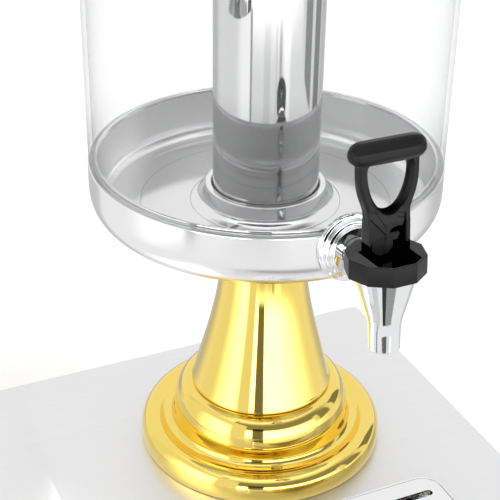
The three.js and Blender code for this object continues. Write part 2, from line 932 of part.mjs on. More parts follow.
// Sealing washer and nut on the shank, inside the basin
function shankSeal() {
  const near = tapReach - basinInnerRadius;
  const ring = turned(pointsOf([
    [shankRadius + runningGap, near - sealThickness],
    [sealRadius, near - sealThickness],
    [sealRadius, near + sealThickness],
    [shankRadius + runningGap, near + sealThickness],
  ]), smallSides).rotateX(-Math.PI / 2).translate(0, 0, neckLevel);
  const inside = unitToTap(upright(
    (basinInnerRadius - runningGap) * Math.cos(Math.PI / largeSides),
    rimLevel - basinRadius,
    rimLevel + basinRadius,
    0,
    0,
    largeSides * 2,
  ));
  return geometryOf(solidOf(ring).intersect(solidOf(inside)));
}

function shankNut() {
  return slab(
    polygon(shankNutRadius, 6, shankRadius + runningGap),
    shankNutStart,
    shankNutStart + shankNutHeight,
    smallSides / 2,
  )
    .rotateX(-Math.PI / 2)
    .translate(0, 0, neckLevel);
}

function addTap(unit, side) {
  const tap = new THREE.Group();
  tapMatrix().decompose(tap.position, tap.quaternion, tap.scale);
  unit.add(tap);
  place(tap, `tap_flange_${side}`, 'chrome', tapFlange());
  place(tap, `tap_body_${side}`, 'chrome', tapBody());
  place(tap, `tap_collar_${side}`, 'black', tapCollar());
  place(tap, `tap_handle_${side}`, 'black', tapHandle());
  place(tap, `handle_pin_${side}`, 'chrome', pivotRod(pinRadius, pinLength));
  place(tap, `valve_stem_${side}`, 'polishedSteel', valveStem());
  place(tap, `seat_cup_${side}`, 'silicone', seatCup());
  place(tap, `shank_seal_${side}`, 'rubber', shankSeal());
  place(tap, `shank_nut_${side}`, 'polishedSteel', shankNut());
}

// Drip tray with a ledge for its grid
function dripTray() {
  const tray = slab(roundedRectangle(trayWidth, trayDepth, trayCorner), 0, trayHeight);
  const wide = roundedRectangle(
    trayWidth - 2 * trayWall,
    trayDepth - 2 * trayWall,
    trayCorner - trayWall,
  );
  const deep = roundedRectangle(
    trayWidth - 2 * (trayWall + trayLedge),
    trayDepth - 2 * (trayWall + trayLedge),
    trayCorner - trayWall - trayLedge,
  );
  return geometryOf(cutBy(
    solidOf(tray),
    slab(wide, trayHeight - gridThickness - seatGap, trayHeight + cutOverrun),
    slab(deep, trayWall, trayHeight + cutOverrun),
  )).translate(0, -trayToAxis, seatGap);
}

function dripGrid() {
  const margin = trayWall + runningGap;
  const width = trayWidth - 2 * margin;
  const depth = trayDepth - 2 * margin;
  const shape = roundedRectangle(width, depth, trayCorner - margin);
  const run = width - 2 * gridFrame - gridSlotWidth;
  const count = Math.floor((depth - 2 * gridFrame - gridSlotWidth) / gridSlotPitch) + 1;
  for (let index = 0; index < count; index += 1) {
    const y = (index - (count - 1) / 2) * gridSlotPitch;
    const slot = new THREE.Path();
    slot.absarc(run / 2, y, gridSlotWidth / 2, -Math.PI / 2, Math.PI / 2);
    slot.absarc(-run / 2, y, gridSlotWidth / 2, Math.PI / 2, 1.5 * Math.PI);
    shape.holes.push(slot);
  }
  const bottom = seatGap + trayHeight - gridThickness;
  return slab(shape, bottom, bottom + gridThickness, 2).translate(0, -trayToAxis, 0);
}

function addUnit(dispenser, side, x) {
  const unit = new THREE.Group();
  unit.position.set(x, unitCentreY, plateTop);
  dispenser.add(unit);
  place(unit, `pedestal_foot_${side}`, 'gold', pedestalFoot());
  place(unit, `pedestal_column_${side}`, 'gold', pedestalColumn());
  place(unit, `tie_stud_${side}`, 'zinc', tieStud());
  place(unit, `stud_washer_${side}`, 'zinc', studWasher());
  place(unit, `stud_nut_${side}`, 'zinc', studNut());
  place(unit, `basin_${side}`, 'polishedSteel', basin());
  place(unit, `tube_socket_${side}`, 'polishedSteel', tubeSocket());
  place(unit, `ice_tube_${side}`, 'polishedSteel', iceTube());
  place(unit, `tank_gasket_${side}`, 'silicone', tankGasket());
  place(unit, `tank_${side}`, 'clear', tank());
  place(unit, `lid_${side}`, 'polishedSteel', lid());
  place(unit, `lid_knob_${side}`, 'gold', lidKnob());
  place(unit, `knob_screw_${side}`, 'zinc', knobScrew());
  place(unit, `drip_tray_${side}`, 'polishedSteel', dripTray());
  place(unit, `drip_grid_${side}`, 'polishedSteel', dripGrid());
  addTap(unit, side);
}

const dispenser = new THREE.Group();
place(dispenser, 'base_plate', 'brushedPlate', basePlate());
footPlaces().forEach(([x, y], index) => {
  place(dispenser, `rubber_foot_${index + 1}`, 'rubber', rubberFoot()).position.set(x, y, 0);
});
addUnit(dispenser, 'left', -unitSpacing / 2);
addUnit(dispenser, 'right', unitSpacing / 2);

export default dispenser;
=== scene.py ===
import json
import bmesh
import bpy
import numpy as np
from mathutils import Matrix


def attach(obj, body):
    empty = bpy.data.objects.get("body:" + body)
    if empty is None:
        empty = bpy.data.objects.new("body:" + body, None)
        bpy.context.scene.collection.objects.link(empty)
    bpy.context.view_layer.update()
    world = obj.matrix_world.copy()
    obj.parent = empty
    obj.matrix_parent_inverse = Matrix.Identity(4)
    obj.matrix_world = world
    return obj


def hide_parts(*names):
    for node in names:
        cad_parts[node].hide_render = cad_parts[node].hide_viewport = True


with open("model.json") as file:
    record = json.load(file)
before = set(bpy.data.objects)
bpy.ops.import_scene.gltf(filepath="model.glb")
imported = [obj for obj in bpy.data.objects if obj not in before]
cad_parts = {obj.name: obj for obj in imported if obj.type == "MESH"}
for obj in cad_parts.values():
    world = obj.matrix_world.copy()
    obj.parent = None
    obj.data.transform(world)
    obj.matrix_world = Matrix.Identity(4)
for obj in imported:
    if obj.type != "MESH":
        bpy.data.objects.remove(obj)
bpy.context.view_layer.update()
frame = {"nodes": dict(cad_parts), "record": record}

from types import SimpleNamespace
from mathutils import Matrix, Vector

mm = 0.001
seatGap = 0.3  # mm, between pieces that rest on each other
sides = {"left": -1, "right": 1}
layout = {"unitX": 150, "unitY": 61.7, "plateTop": 25, "basinBase": 175.4, "rim": 211.4,
          "tapReach": 148, "tapLean": np.radians(6)}  # mm, where the units and their taps stand


class Wire:  # a socket that takes part in sums: each operator adds one Math node
    def __init__(self, graph, socket):
        self.graph = graph
        self.socket = socket

    def sum(self, operation, first, second=None):
        return self.graph.node("ShaderNodeMath", {"operation": operation},
                               [value for value in (first, second) if value is not None])

    def __add__(self, other): return self.sum("ADD", self, other)
    def __radd__(self, other): return self.sum("ADD", other, self)
    def __sub__(self, other): return self.sum("SUBTRACT", self, other)
    def __rsub__(self, other): return self.sum("SUBTRACT", other, self)
    def __mul__(self, other): return self.sum("MULTIPLY", self, other)
    def __rmul__(self, other): return self.sum("MULTIPLY", other, self)
    def __truediv__(self, other): return self.sum("DIVIDE", self, other)
    def __rtruediv__(self, other): return self.sum("DIVIDE", other, self)
    def __pow__(self, other): return self.sum("POWER", self, other)

    def call(self, operation, other=None): return self.sum(operation, self, other)

    def between(self, low, high):  # 0 below low, 1 above high, a smooth step in between
        return self.graph.node("ShaderNodeMapRange", {"interpolation_type": "SMOOTHSTEP"},
                               {"Value": self, "From Min": low, "From Max": high})


class Graph:  # one node tree, of a material or of the world
    def __init__(self, owner):
        owner.use_nodes = True
        self.tree = owner.node_tree
        self.tree.nodes.clear()

    def node(self, kind, settings=None, values=None, output=0):
        made = self.tree.nodes.new(kind)
        for key, value in (settings or {}).items():
            setattr(made, key, value)
        pairs = values.items() if isinstance(values, dict) else enumerate(values or [])
        for key, value in pairs:
            if isinstance(value, Wire):
                self.tree.links.new(value.socket, made.inputs[key])
            else:
                made.inputs[key].default_value = value
        return Wire(self, made.outputs[output]) if made.outputs else None

    def coordinates(self):
        return self.node("ShaderNodeTexCoord", output=3)  # Object

    def axes(self, vector):  # x, y and z of a vector
        return [self.node("ShaderNodeSeparateXYZ", {}, [vector], axis) for axis in range(3)]

    def rays(self):  # 1 for camera, glossy and transmission rays
        return [self.node("ShaderNodeLightPath", output=output) for output in (0, 3, 6)]

    def noise(self, vector, scale, detail=3.0, roughness=0.5):
        return self.node("ShaderNodeTexNoise", {}, {"Vector": vector, "Scale": scale, "Detail": detail,
                                                    "Roughness": roughness})

    def vector(self, x, y, z):
        return self.node("ShaderNodeCombineXYZ", {}, [x, y, z])

    def blend(self, share, first, second):  # colours
        return self.node("ShaderNodeMix", {"data_type": "RGBA"}, {0: share, 6: first, 7: second}, 2)

    def bump(self, height, strength, distance):
        return self.node("ShaderNodeBump", {}, {"Height": height, "Strength": strength, "Distance": distance})

    def finish(self, values):
        shader = self.node("ShaderNodeBsdfPrincipled", {}, values)
        self.node("ShaderNodeOutputMaterial", {}, [shader])


def newMaterial(name):
    material = bpy.data.materials.new(name)
    return material, Graph(material)


def aroundUnit(x, y):  # distance from the nearer pedestal axis, and the cosine of the direction from it
    dx = x.call("ABSOLUTE") - layout["unitX"] * mm
    dy = y - layout["unitY"] * mm
    distance = (dx * dx + dy * dy).call("SQRT")
    return distance, dx / distance


def band(wire, low, high, soft):  # 1 from low to high, fading out over soft on either side
    return wire.between(low - soft, low) * (1 - wire.between(high, high + soft))


steelLook = {"low": (0.83, 0.83, 0.837, 1), "high": (0.89, 0.89, 0.893, 1),
             "tube": 0.82, "foot": 0.74, "line": 0.80,  # share of the colour left on the tube, its foot and the line: on the tube and its foot this is painted shade
             "mirror": 0.045, "satin": 0.20, "floor": 0.13, "wall": 0.40,  # roughness
             "turning": 2600.0, "smears": 22.0}  # how fine


def polishedSteel():  # tube, lid and tray mirror bright, basin satin outside, softer spun finish inside
    look = steelLook
    material, graph = newMaterial("polishedSteel")
    x, y, z = graph.axes(graph.coordinates())
    distance, cosine = aroundUnit(x, y)
    turning = graph.noise(graph.vector(distance, z, cosine * 0.002), look["turning"], 2.0)
    smears = graph.noise(graph.vector(x, y, z * 0.6), look["smears"], 4.0)
    # masks by place, in metres from the pedestal's axis and above the floor
    belowTank = 1 - z.between(0.2395, 0.2405)
    bowl = z.between(0.172, 0.176) * belowTank * distance.between(0.0475, 0.0500)
    inside = (1 - distance.between(0.1035, 0.1055)) * z.between(0.2035, 0.2045)
    upright = z.between(0.2065, 0.2130)
    rim = distance.between(0.1036, 0.1042) * (1 - distance.between(0.1085, 0.1092)) * z.between(0.2358, 0.2362)
    tube = (1 - distance.between(0.0340, 0.0350)) * z.between(0.200, 0.2035)
    shadedTubeFoot = tube * (1 - z.between(0.255, 0.290))
    line = band(distance, 0.0785, 0.0789, 0.0008) * inside  # drawn round the basin's floor
    spun = look["floor"] + upright * (look["wall"] - look["floor"])
    satin = look["satin"] + inside * (spun - look["satin"])
    rough = look["mirror"] + bowl * (1 - rim * belowTank) * (satin - look["mirror"])
    # painted shade: the tube's colour is darkened, most at its foot by the basin floor; the line is the engraved ring's
    # own dark colour
    shade = 1.0
    for mask, key in ((tube, "tube"), (line, "line"), (shadedTubeFoot, "foot")):
        shade = (1 - mask * (1 - look[key])) * shade
    graph.finish({"Base Color": graph.blend(shade, (0, 0, 0, 1), graph.blend(smears, look["low"], look["high"])),
                  "Metallic": 1.0, "Roughness": rough + (turning - 0.5) * 0.02 + (smears - 0.5) * 0.04,
                  "Normal": graph.bump(turning, 0.03, 0.00003)})
    return material


goldLook = {"colour": (0.90, 0.67, 0.14, 1), "pale": (0.95, 0.72, 0.18, 1), "polish": 0.045, "lacquer": 0.35}


def mirrorGold():  # gold plating over polished steel: even colour, faint turning lines, a few soft smears
    material, graph = newMaterial("mirrorGold")
    coordinates = graph.coordinates()
    x, y, z = graph.axes(coordinates)
    distance, cosine = aroundUnit(x, y)
    turning = graph.noise(graph.vector(distance * 0.6, z, cosine * 0.001), 2200.0, 2.0)
    smears = graph.noise(coordinates, 18.0, 5.0)
    rough = goldLook["polish"] + (turning - 0.5) * 0.03 + smears.between(0.5, 0.8) * 0.04
    graph.finish({"Base Color": graph.blend(smears, goldLook["colour"], goldLook["pale"]), "Metallic": 1.0,
                  "Roughness": rough, "Normal": graph.bump(turning, 0.04, 0.00004),
                  "Coat Weight": goldLook["lacquer"], "Coat Roughness": 0.03})
    return material


plateLook = {"low": (0.77, 0.77, 0.78, 1), "high": (0.85, 0.85, 0.858, 1), "rough": 0.42}


def brushedPlate():  # sheet brushed along its length: long thin streaks in colour, gloss and bump
    material, graph = newMaterial("brushedPlate")
    coordinates = graph.coordinates()
    x, y, z = graph.axes(coordinates)
    streaks = graph.noise(graph.vector(x * 6.0, y * 900.0, z * 900.0), 1.0, 4.0, 0.6)
    clouds = graph.noise(coordinates, 5.0, 3.0)
    rough = plateLook["rough"] + (streaks - 0.5) * 0.12 + (clouds - 0.5) * 0.06
    graph.finish({"Base Color": graph.blend(streaks, plateLook["low"], plateLook["high"]), "Metallic": 0.85,
                  "Roughness": rough, "Normal": graph.bump(streaks, 0.12, 0.00005)})
    return material


chromeLook = {"low": (0.79, 0.795, 0.805, 1), "high": (0.85, 0.855, 0.86, 1)}


def brightChrome():  # chrome plate, almost a perfect mirror, with the softest ripple of cast metal below it
    material, graph = newMaterial("brightChrome")
    coordinates = graph.coordinates()
    ripple = graph.noise(coordinates, 90.0, 2.0)
    film = graph.noise(coordinates, 300.0, 4.0)
    graph.finish({"Base Color": graph.blend(film, chromeLook["low"], chromeLook["high"]),
                  "Metallic": 1.0, "Roughness": 0.03 + film * 0.03,
                  "Normal": graph.bump(ripple, 0.05, 0.0004)})
    return material


# deep is the colour of the painted shadow in the recesses
blackLook = {"low": (0.009, 0.009, 0.0094, 1), "high": (0.016, 0.016, 0.0168, 1),
             "deep": (0.0012, 0.0012, 0.0012, 1), "rough": 0.34, "shine": 0.17}


def mouldedBlack():  # satin moulded plastic: fine grain, uneven gloss; painted shade, a dull near black, down in the tap's slot and the handle's recesses, by the hollow attribute
    material, graph = newMaterial("mouldedBlack")
    coordinates = graph.coordinates()
    grain = graph.noise(coordinates, 2400.0, 3.0, 0.6)
    clouds = graph.noise(coordinates, 70.0, 3.0)
    shadeShare = graph.node("ShaderNodeAttribute", {"attribute_name": "hollow"}, output=2)
    surface = graph.node("ShaderNodeBsdfPrincipled", {}, {
        "Base Color": graph.blend(clouds, blackLook["low"], blackLook["high"]),
        "Roughness": blackLook["rough"] + (clouds - 0.5) * 0.10 + (grain - 0.5) * 0.08,
        "Specular IOR Level": blackLook["shine"], "Normal": graph.bump(grain, 0.10, 0.00006)})
    paintedShadow = graph.node("ShaderNodeBsdfPrincipled", {}, {"Base Color": blackLook["deep"], "Roughness": 0.9,
                                                         "Specular IOR Level": 0.0})
    graph.node("ShaderNodeOutputMaterial", {}, [graph.node("ShaderNodeMixShader", {}, [shadeShare, surface, paintedShadow])])
    return material


rubberLook = {"low": (0.018, 0.018, 0.018, 1), "high": (0.04, 0.04, 0.04, 1), "rough": 0.75}


def blackRubber():  # matt, with a powdery grain
    material, graph = newMaterial("blackRubber")
    grain = graph.noise(graph.coordinates(), 1500.0, 4.0, 0.65)
    graph.finish({"Base Color": graph.blend(grain, rubberLook["low"], rubberLook["high"]),
                  "Roughness": rubberLook["rough"] + (grain - 0.5) * 0.15,
                  "Normal": graph.bump(grain, 0.2, 0.0001)})
    return material


siliconeLook = {"colour": (0.78, 0.79, 0.79, 1), "density": 0.20, "clouds": 0.14, "rough": 0.30}


def clearSilicone():  # milky see-through rubber, a little cloudy
    material, graph = newMaterial("clearSilicone")
    clouds = graph.noise(graph.coordinates(), 220.0, 3.0)
    graph.finish({"Base Color": siliconeLook["colour"], "Roughness": siliconeLook["rough"] + clouds * 0.12,
                  "IOR": 1.41, "Alpha": siliconeLook["density"] + clouds * siliconeLook["clouds"]})
    return material


zincLook = {"low": (0.52, 0.53, 0.55, 1), "high": (0.70, 0.70, 0.69, 1)}


def zincPlate():  # zinc-plated steel: patchy crystals in colour and gloss
    material, graph = newMaterial("zincPlate")
    crystals = graph.noise(graph.coordinates(), 420.0, 5.0, 0.6)
    graph.finish({"Base Color": graph.blend(crystals, zincLook["low"], zincLook["high"]),
                  "Metallic": 1.0, "Roughness": 0.28 + crystals * 0.2,
                  "Normal": graph.bump(crystals, 0.1, 0.0001)})
    return material


# the foot colour and the extra edge density near the foot are painted shade
acrylicLook = {"colour": (0.93, 0.945, 0.95, 1), "foot": (0.16, 0.165, 0.17, 1), "clear": 0.035, "edge": 0.55,
               "footShadeEdge": 0.3}


def clearAcrylic():  # see-through, denser where the wall is seen edge on; painted shade low down above the rim: a dark colour there, and denser still edge on
    look = acrylicLook
    material, graph = newMaterial("clearAcrylic")
    x, y, z = graph.axes(graph.coordinates())
    facing = graph.node("ShaderNodeLayerWeight", {}, {"Blend": 0.5}, 1)
    film = graph.noise(graph.vector(x, y, z * 0.3), 30.0, 3.0)
    low = 1 - z.between(0.239, 0.272)
    density = look["clear"] + (facing ** 5.0) * (look["edge"] + low * look["footShadeEdge"]) + (film - 0.5) * 0.01
    graph.finish({"Base Color": graph.blend(low, look["colour"], look["foot"]),
                  "Roughness": 0.02 + film * 0.03, "IOR": 1.49, "Alpha": density})
    return material


finishes = {
    "steel": polishedSteel(), "gold": mirrorGold(), "plate": brushedPlate(), "chrome": brightChrome(),
    "black": mouldedBlack(), "clear": clearAcrylic(), "fastener": zincPlate(),
    "rubber": blackRubber(), "silicone": clearSilicone(),
}
print("finishes made")


def rounded(points, reach=0.6, steps=6):
    # each inner corner P becomes (1-s)^2 A + 2s(1-s) P + s^2 B, with A and B reach away from it along its two edges
    points = np.array(points, float)
    reach = np.broadcast_to(np.array(reach, float), (len(points) - 2,))
    corner, before, after = points[1:-1], points[:-2] - points[1:-1], points[2:] - points[1:-1]
    lengthBefore = np.linalg.norm(before, axis=1)
    lengthAfter = np.linalg.norm(after, axis=1)
    cut = np.minimum(reach, 0.42 * np.minimum(lengthBefore, lengthAfter))
    stretch = 1.15 * cut  # a second row of points just outside the curve keeps the flats flat
    s = np.linspace(0, 1, steps + 1)[None, :, None]
    toBefore, toAfter = before / lengthBefore[:, None], after / lengthAfter[:, None]
    start, end = corner + toBefore * cut[:, None], corner + toAfter * cut[:, None]
    curve = (1 - s) ** 2 * start[:, None] + 2 * s * (1 - s) * corner[:, None] + s ** 2 * end[:, None]
    rows = np.concatenate([(corner + toBefore * stretch[:, None])[:, None], curve,
                           (corner + toAfter * stretch[:, None])[:, None]], axis=1)
    return np.concatenate([points[:1], rows.reshape(-1, 2), points[-1:]])


def bezier(a, b, c, d, steps=24):
    # (1-s)^3 a + 3s(1-s)^2 b + 3s^2(1-s) c + s^3 d
    s = np.linspace(0, 1, steps + 1)[:, None]
    a, b, c, d = (np.array(point, float) for point in (a, b, c, d))
    return (1 - s) ** 3 * a + 3 * s * (1 - s) ** 2 * b + 3 * s ** 2 * (1 - s) * c + s ** 3 * d


def gridFaces(rows, columns, wrapRows, wrapColumns):
    # quads between neighbours (i, j), (i+1, j), (i+1, j+1), (i, j+1) of a grid of points
    i = np.arange(rows if wrapRows else rows - 1)[:, None]
    j = np.arange(columns if wrapColumns else columns - 1)[None, :]
    i2, j2 = (i + 1) % rows, (j + 1) % columns
    corners = [i * columns + j, i2 * columns + j, i2 * columns + j2, i * columns + j2]
    size = (i.shape[0], j.shape[1])
    return np.stack([np.broadcast_to(corner, size) for corner in corners], axis=-1).reshape(-1, 4)


def surfaceOf(x, y, z, wrapRows, wrapColumns):  # points and faces from coordinates that span a grid together
    points = np.stack(np.broadcast_arrays(x, y, z), axis=-1)
    return points.reshape(-1, 3), gridFaces(*points.shape[:2], wrapRows, wrapColumns)


def directed(profile, way):  # the profile's two columns, in the order whose area has the sign of way
    first, second = np.array(profile, float).T
    area = np.sum(first * np.roll(second, -1) - np.roll(first, -1) * second)
    return (first, second) if area * way >= 0 else (first[::-1], second[::-1])


def turned(profile, turns, closed=False):
    # point (u, v) = (r(v) cos u, r(v) sin u, z(v)): the profile (r, z) carried once round the axis
    r, z = directed(profile, 1)
    u = np.linspace(0, 2 * np.pi, turns, endpoint=False)[:, None]
    return surfaceOf(r * np.cos(u), r * np.sin(u), z, True, closed)


def framed(profile, halfWidth, halfDepth, radius, steps=8):
    # point (u, v): a rounded rectangle drawn in by d(v) at height z(v); its corners keep their centres while d < radius
    inset, z = directed(profile, -1)
    angle = np.concatenate([np.linspace(0, 0.5 * np.pi, steps + 1) + quarter * 0.5 * np.pi for quarter in range(4)])
    signX = np.repeat([1, -1, -1, 1], steps + 1)[:, None]
    signY = np.repeat([1, 1, -1, -1], steps + 1)[:, None]
    kept = np.maximum(radius, inset)[None, :]
    arc = np.maximum(radius - inset, 0)[None, :]
    x = signX * np.maximum(halfWidth - kept, 0) + arc * np.cos(angle)[:, None]
    y = signY * np.maximum(halfDepth - kept, 0) + arc * np.sin(angle)[:, None]
    return surfaceOf(x, y, z, True, False)


def reachOf(outline, centre, angle):
    # distance from the centre to a closed outline along each angle: the smallest t with centre + t d on an edge
    outline = np.array(outline, float) - np.array(centre, float)
    a, b = outline, np.roll(outline, -1, axis=0)
    d = np.stack([np.cos(angle), np.sin(angle)], axis=-1)[:, None, :]
    edge = (b - a)[None]
    cross = d[..., 0] * edge[..., 1] - d[..., 1] * edge[..., 0]
    cross = np.where(np.abs(cross) < 1e-12, 1e-12, cross)
    t = (a[None, :, 0] * edge[..., 1] - a[None, :, 1] * edge[..., 0]) / cross
    s = (a[None, :, 0] * d[..., 1] - a[None, :, 1] * d[..., 0]) / cross
    hit = (t > 0) & (s >= -1e-9) & (s <= 1 + 1e-9)
    return np.where(hit, t, np.inf).min(axis=1)


def ringed(outer, inner, centre, low, high, edge, chamfer, count=360, across=14):
    # point (u, v) = centre + rho(u, v) (cos u, sin u): rho runs from the inner outline to the outer one over the top,
    # down the outer side and back below; outer edges are rounded by a radius, inner ones cut back by a chamfer
    # the last array returned gives each point its share of painted shade inside the opening
    corners = np.concatenate([np.array(outer, float), np.array(inner, float)]) - np.array(centre, float)
    exact = np.arctan2(corners[:, 1], corners[:, 0])
    fine = np.concatenate([exact, exact - 0.008, exact + 0.008, np.linspace(-np.pi, np.pi, count, endpoint=False)])
    angle = np.unique(np.round(np.mod(fine, 2 * np.pi), 6))
    reachOuter, reachInner = (reachOf(line, centre, angle)[:, None] for line in (outer, inner))
    way = np.linspace(0, 1, across + 1)[1:-1]
    still = 0 * way
    turn = np.linspace(0, 0.5 * np.pi, 6)
    slope = np.array([0, 0.04, 0.12, 0.88, 0.96, 1])  # extra rows by the chamfer's ends keep its flat crisp
    inward = edge * (1 - np.sin(turn))  # distance from the outer side while its edge turns over
    drop = edge * (1 - np.cos(turn))
    shares = [np.zeros(6), way, np.ones(12), way[::-1], np.zeros(6)]
    offsets = [chamfer * slope, still, -inward, -inward[::-1], still, chamfer * slope[::-1]]
    levels = [high - chamfer * (1 - slope), still + high, high - drop, low + drop[::-1], still + low,
              low + chamfer * (1 - slope[::-1])]
    depth = np.array([1, 1, 1, 0.85, 0.3, 0])  # painted shade for each row of the chamfer, more the further inside the opening it lies
    shadeRows = [depth, still, np.zeros(12), still, depth[::-1]]
    share, offset, level = (np.concatenate(rows)[None, :] for rows in (shares, offsets, levels))
    rho = reachInner + (reachOuter - reachInner) * share + offset
    flat = np.clip(rho, reachInner + chamfer * 1.04, reachOuter - edge * 1.04)
    rho = np.where((share > 0) & (share < 1), flat, rho)
    x = centre[0] + rho * np.cos(angle)[:, None]
    y = centre[1] + rho * np.sin(angle)[:, None]
    hollow = np.broadcast_to(np.concatenate(shadeRows)[None, :], x.shape)
    return *surfaceOf(x, y, level, True, True), hollow.ravel()


def moved(surface, matrix):
    points, faces = surface
    return points @ np.array(matrix)[:3, :3].T + np.array(matrix)[:3, 3], faces


def unitMatrix(side):
    return np.array(Matrix.Translation((sides[side] * layout["unitX"], layout["unitY"], layout["plateTop"])))


def tapMatrix(side):  # the tap's own frame leans back towards the tank
    lean = layout["tapLean"]
    turn = np.array([[1, 0, 0], [0, np.cos(lean), np.sin(lean)], [0, -np.sin(lean), np.cos(lean)]])
    matrix = np.eye(4)
    matrix[:3, :3] = turn
    matrix[:3, 3] = (0, -layout["tapReach"], layout["rim"])
    return unitMatrix(side) @ matrix


def outward(mesh, weld, flat=None):  # merges doubles, drops faces without area and turns the rest outwards
    shape = bmesh.new()
    shape.from_mesh(mesh)
    bmesh.ops.remove_doubles(shape, verts=shape.verts, dist=weld)
    if flat:
        bmesh.ops.dissolve_degenerate(shape, edges=shape.edges, dist=flat)
    bmesh.ops.recalc_face_normals(shape, faces=shape.faces)
    shape.to_mesh(mesh)
    shape.free()


def linked(name, data):  # a new object in the scene
    made = bpy.data.objects.new(name, data)
    bpy.context.scene.collection.objects.link(made)
    return made


def evaluated(item):  # a new mesh of the object as its modifiers or its curve make it
    return bpy.data.meshes.new_from_object(item.evaluated_get(bpy.context.evaluated_depsgraph_get()))


def verticesOf(mesh):
    points = np.zeros(3 * len(mesh.vertices))
    mesh.vertices.foreach_get("co", points)
    return points.reshape(-1, 3)


def dress(mesh, slot, body, *nodes):  # a finished mesh becomes a piece that stands for these nodes
    made = linked(mesh.name, mesh)
    mesh.materials.append(finishes[slot])
    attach(made, body)
    if nodes:
        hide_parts(*nodes)
    return made


def piece(name, surfaces, slot, body, *nodes, paintedShades=None):
    # joins surfaces given in millimetres into one mesh in metres, closes poles and seams, faces outwards;
    # the last argument gives each point its painted shade, 0 on open faces and 1 down inside a recess
    points, faces, start = [], [], 0
    for surfacePoints, surfaceFaces in surfaces:
        points.append(surfacePoints * mm)
        faces += (surfaceFaces + start).tolist()
        start += len(surfacePoints)
    mesh = bpy.data.meshes.new(name)
    mesh.from_pydata(np.concatenate(points).tolist(), [], faces)
    if paintedShades:
        mesh.attributes.new("hollow", "FLOAT", "POINT").data.foreach_set("value", np.concatenate(paintedShades))
    outward(mesh, 1e-7, 1e-8)
    mesh.shade_smooth()
    return dress(mesh, slot, body, *nodes)


def unitPiece(name, side, profile, turns, slot, node, body="stand", closed=True):  # turned about a unit's axis
    shape = moved(turned(profile, turns, closed), unitMatrix(side))
    piece(f"{name}_{side}", [shape], slot, body, f"{node}_{side}")


plateSize = {"width": 577, "depth": 350, "top": 25, "bottom": 5, "sheet": 1.5, "lip": 26, "corner": 4,
             "footRadius": 10, "footTaper": 1.75, "footHeight": 4.7, "stem": 3.5, "stemTop": 10.7, "footInset": 13}


def basePlate():
    p = SimpleNamespace(**plateSize)
    middle = p.depth / 2
    profile = rounded([(middle, p.top), (0, p.top), (0, p.bottom), (p.lip, p.bottom),
                       (p.lip, p.bottom + p.sheet), (p.sheet, p.bottom + p.sheet),
                       (p.sheet, p.top - p.sheet), (middle, p.top - p.sheet)],
                      [1.6, 1.6, 0.4, 0.4, 0.3, 0.3])
    piece("plate_sheet", [framed(profile, p.width / 2, middle, p.corner)], "plate", "stand", "base_plate")
    r, height, stem = p.footRadius, p.footHeight, p.stem
    foot = rounded([(0, 0), (r - p.footTaper, 0), (r, height), (stem, height), (stem, p.stemTop),
                    (0, p.stemTop)], [0.8, 0.6, 0.2, 0.8])
    x, y = p.width / 2 - p.footInset, middle - p.footInset
    for index, (footX, footY) in enumerate([(-x, -y), (x, -y), (-x, y), (x, y)], 1):
        place = np.array(Matrix.Translation((footX, footY, 0)))
        piece(f"foot_pad_{index}", [moved(turned(foot, 48), place)], "rubber", "stand", f"rubber_foot_{index}")


basePlate()
print("base plate made")


pedestalSize = {"wall": 1.5, "discRadius": 82.5, "discEdge": 6, "crest": (73.2, 16.8), "groove": (65, 13.6),
                "dome": 59.5, "waist": 22, "domeTop": 44.2, "seat": 48.3, "pull": 0.6,
                "height": 130.3, "footRadius": 46.5, "topRadius": 26.6, "lip": 1.8, "hole": 5.3}


def pedestal(side):
    p = SimpleNamespace(**pedestalSize)
    hole, thick, lipWidth = p.hole, p.wall, p.lip / 2
    shoulder = bezier((p.seat, p.domeTop), (p.seat + (p.dome - p.seat) * p.pull, p.domeTop),
                      (p.dome, p.waist + (p.domeTop - p.waist) * p.pull), (p.dome, p.waist))
    (grooveR, grooveZ), (crestR, crestZ) = p.groove, p.crest
    hollow = bezier((p.dome, p.waist), (p.dome, 17.5), (60.5, grooveZ), (grooveR, grooveZ), 14)
    rise = bezier((grooveR, grooveZ), (68, grooveZ), (69.5, crestZ), (crestR, crestZ), 10)
    edge = bezier((crestR, crestZ), (78.5, crestZ), (p.discRadius, 12.6), (p.discRadius, p.discEdge), 16)
    outer = np.concatenate([[(hole, p.domeTop)], shoulder, hollow[1:], rise[1:], edge[1:],
                            [(p.discRadius, 0.5), (p.discRadius - 0.3, 0.1), (p.discRadius - 0.8, 0)]])
    inner = outer[:-3] * 1.0
    inner[:, 1] -= thick
    inner[1:, 0] -= thick * np.linspace(0, 1, len(inner) - 1) ** 0.5
    inner = np.concatenate([inner[inner[:, 1] > 0.5], [(p.discRadius - thick, 0)]])
    foot = np.concatenate([outer, inner[::-1]]) + (0, seatGap)
    unitPiece("foot_shell", side, foot, 192, "gold", "pedestal_foot")
    wide, narrow, high = p.footRadius, p.topRadius, p.height
    flare = wide - narrow
    wall = bezier((narrow, high), (narrow, high * 0.605), (wide - flare * 0.855, high * 0.474),
                  (wide, 2 * p.lip), 40)
    lip = rounded([(wide, 2 * p.lip), (wide + lipWidth, p.lip), (wide + lipWidth, 0), (wide - 0.6, 0)],
                  [0.8, 0.5])
    outer = np.concatenate([[(hole, high), (narrow - 0.4, high)], wall, lip[1:]])
    inside = np.concatenate([[(wide - 0.6, 1.2)], wall[::-1] - (thick, 0),
                             [(narrow - thick, high - thick), (hole, high - thick)]])
    column = np.concatenate([outer, inside]) + (0, p.domeTop + 2 * seatGap)
    unitPiece("column_shell", side, column, 160, "gold", "pedestal_column")


basinSize = {"radius": 110, "depth": 36, "curve": 20, "ledge": 4, "lip": 2.6, "lipWidth": 2, "chamfer": 0.7,
             "fillet": 11, "floorDepth": 31, "ringRadius": 78.7, "ringDepth": 0.05}


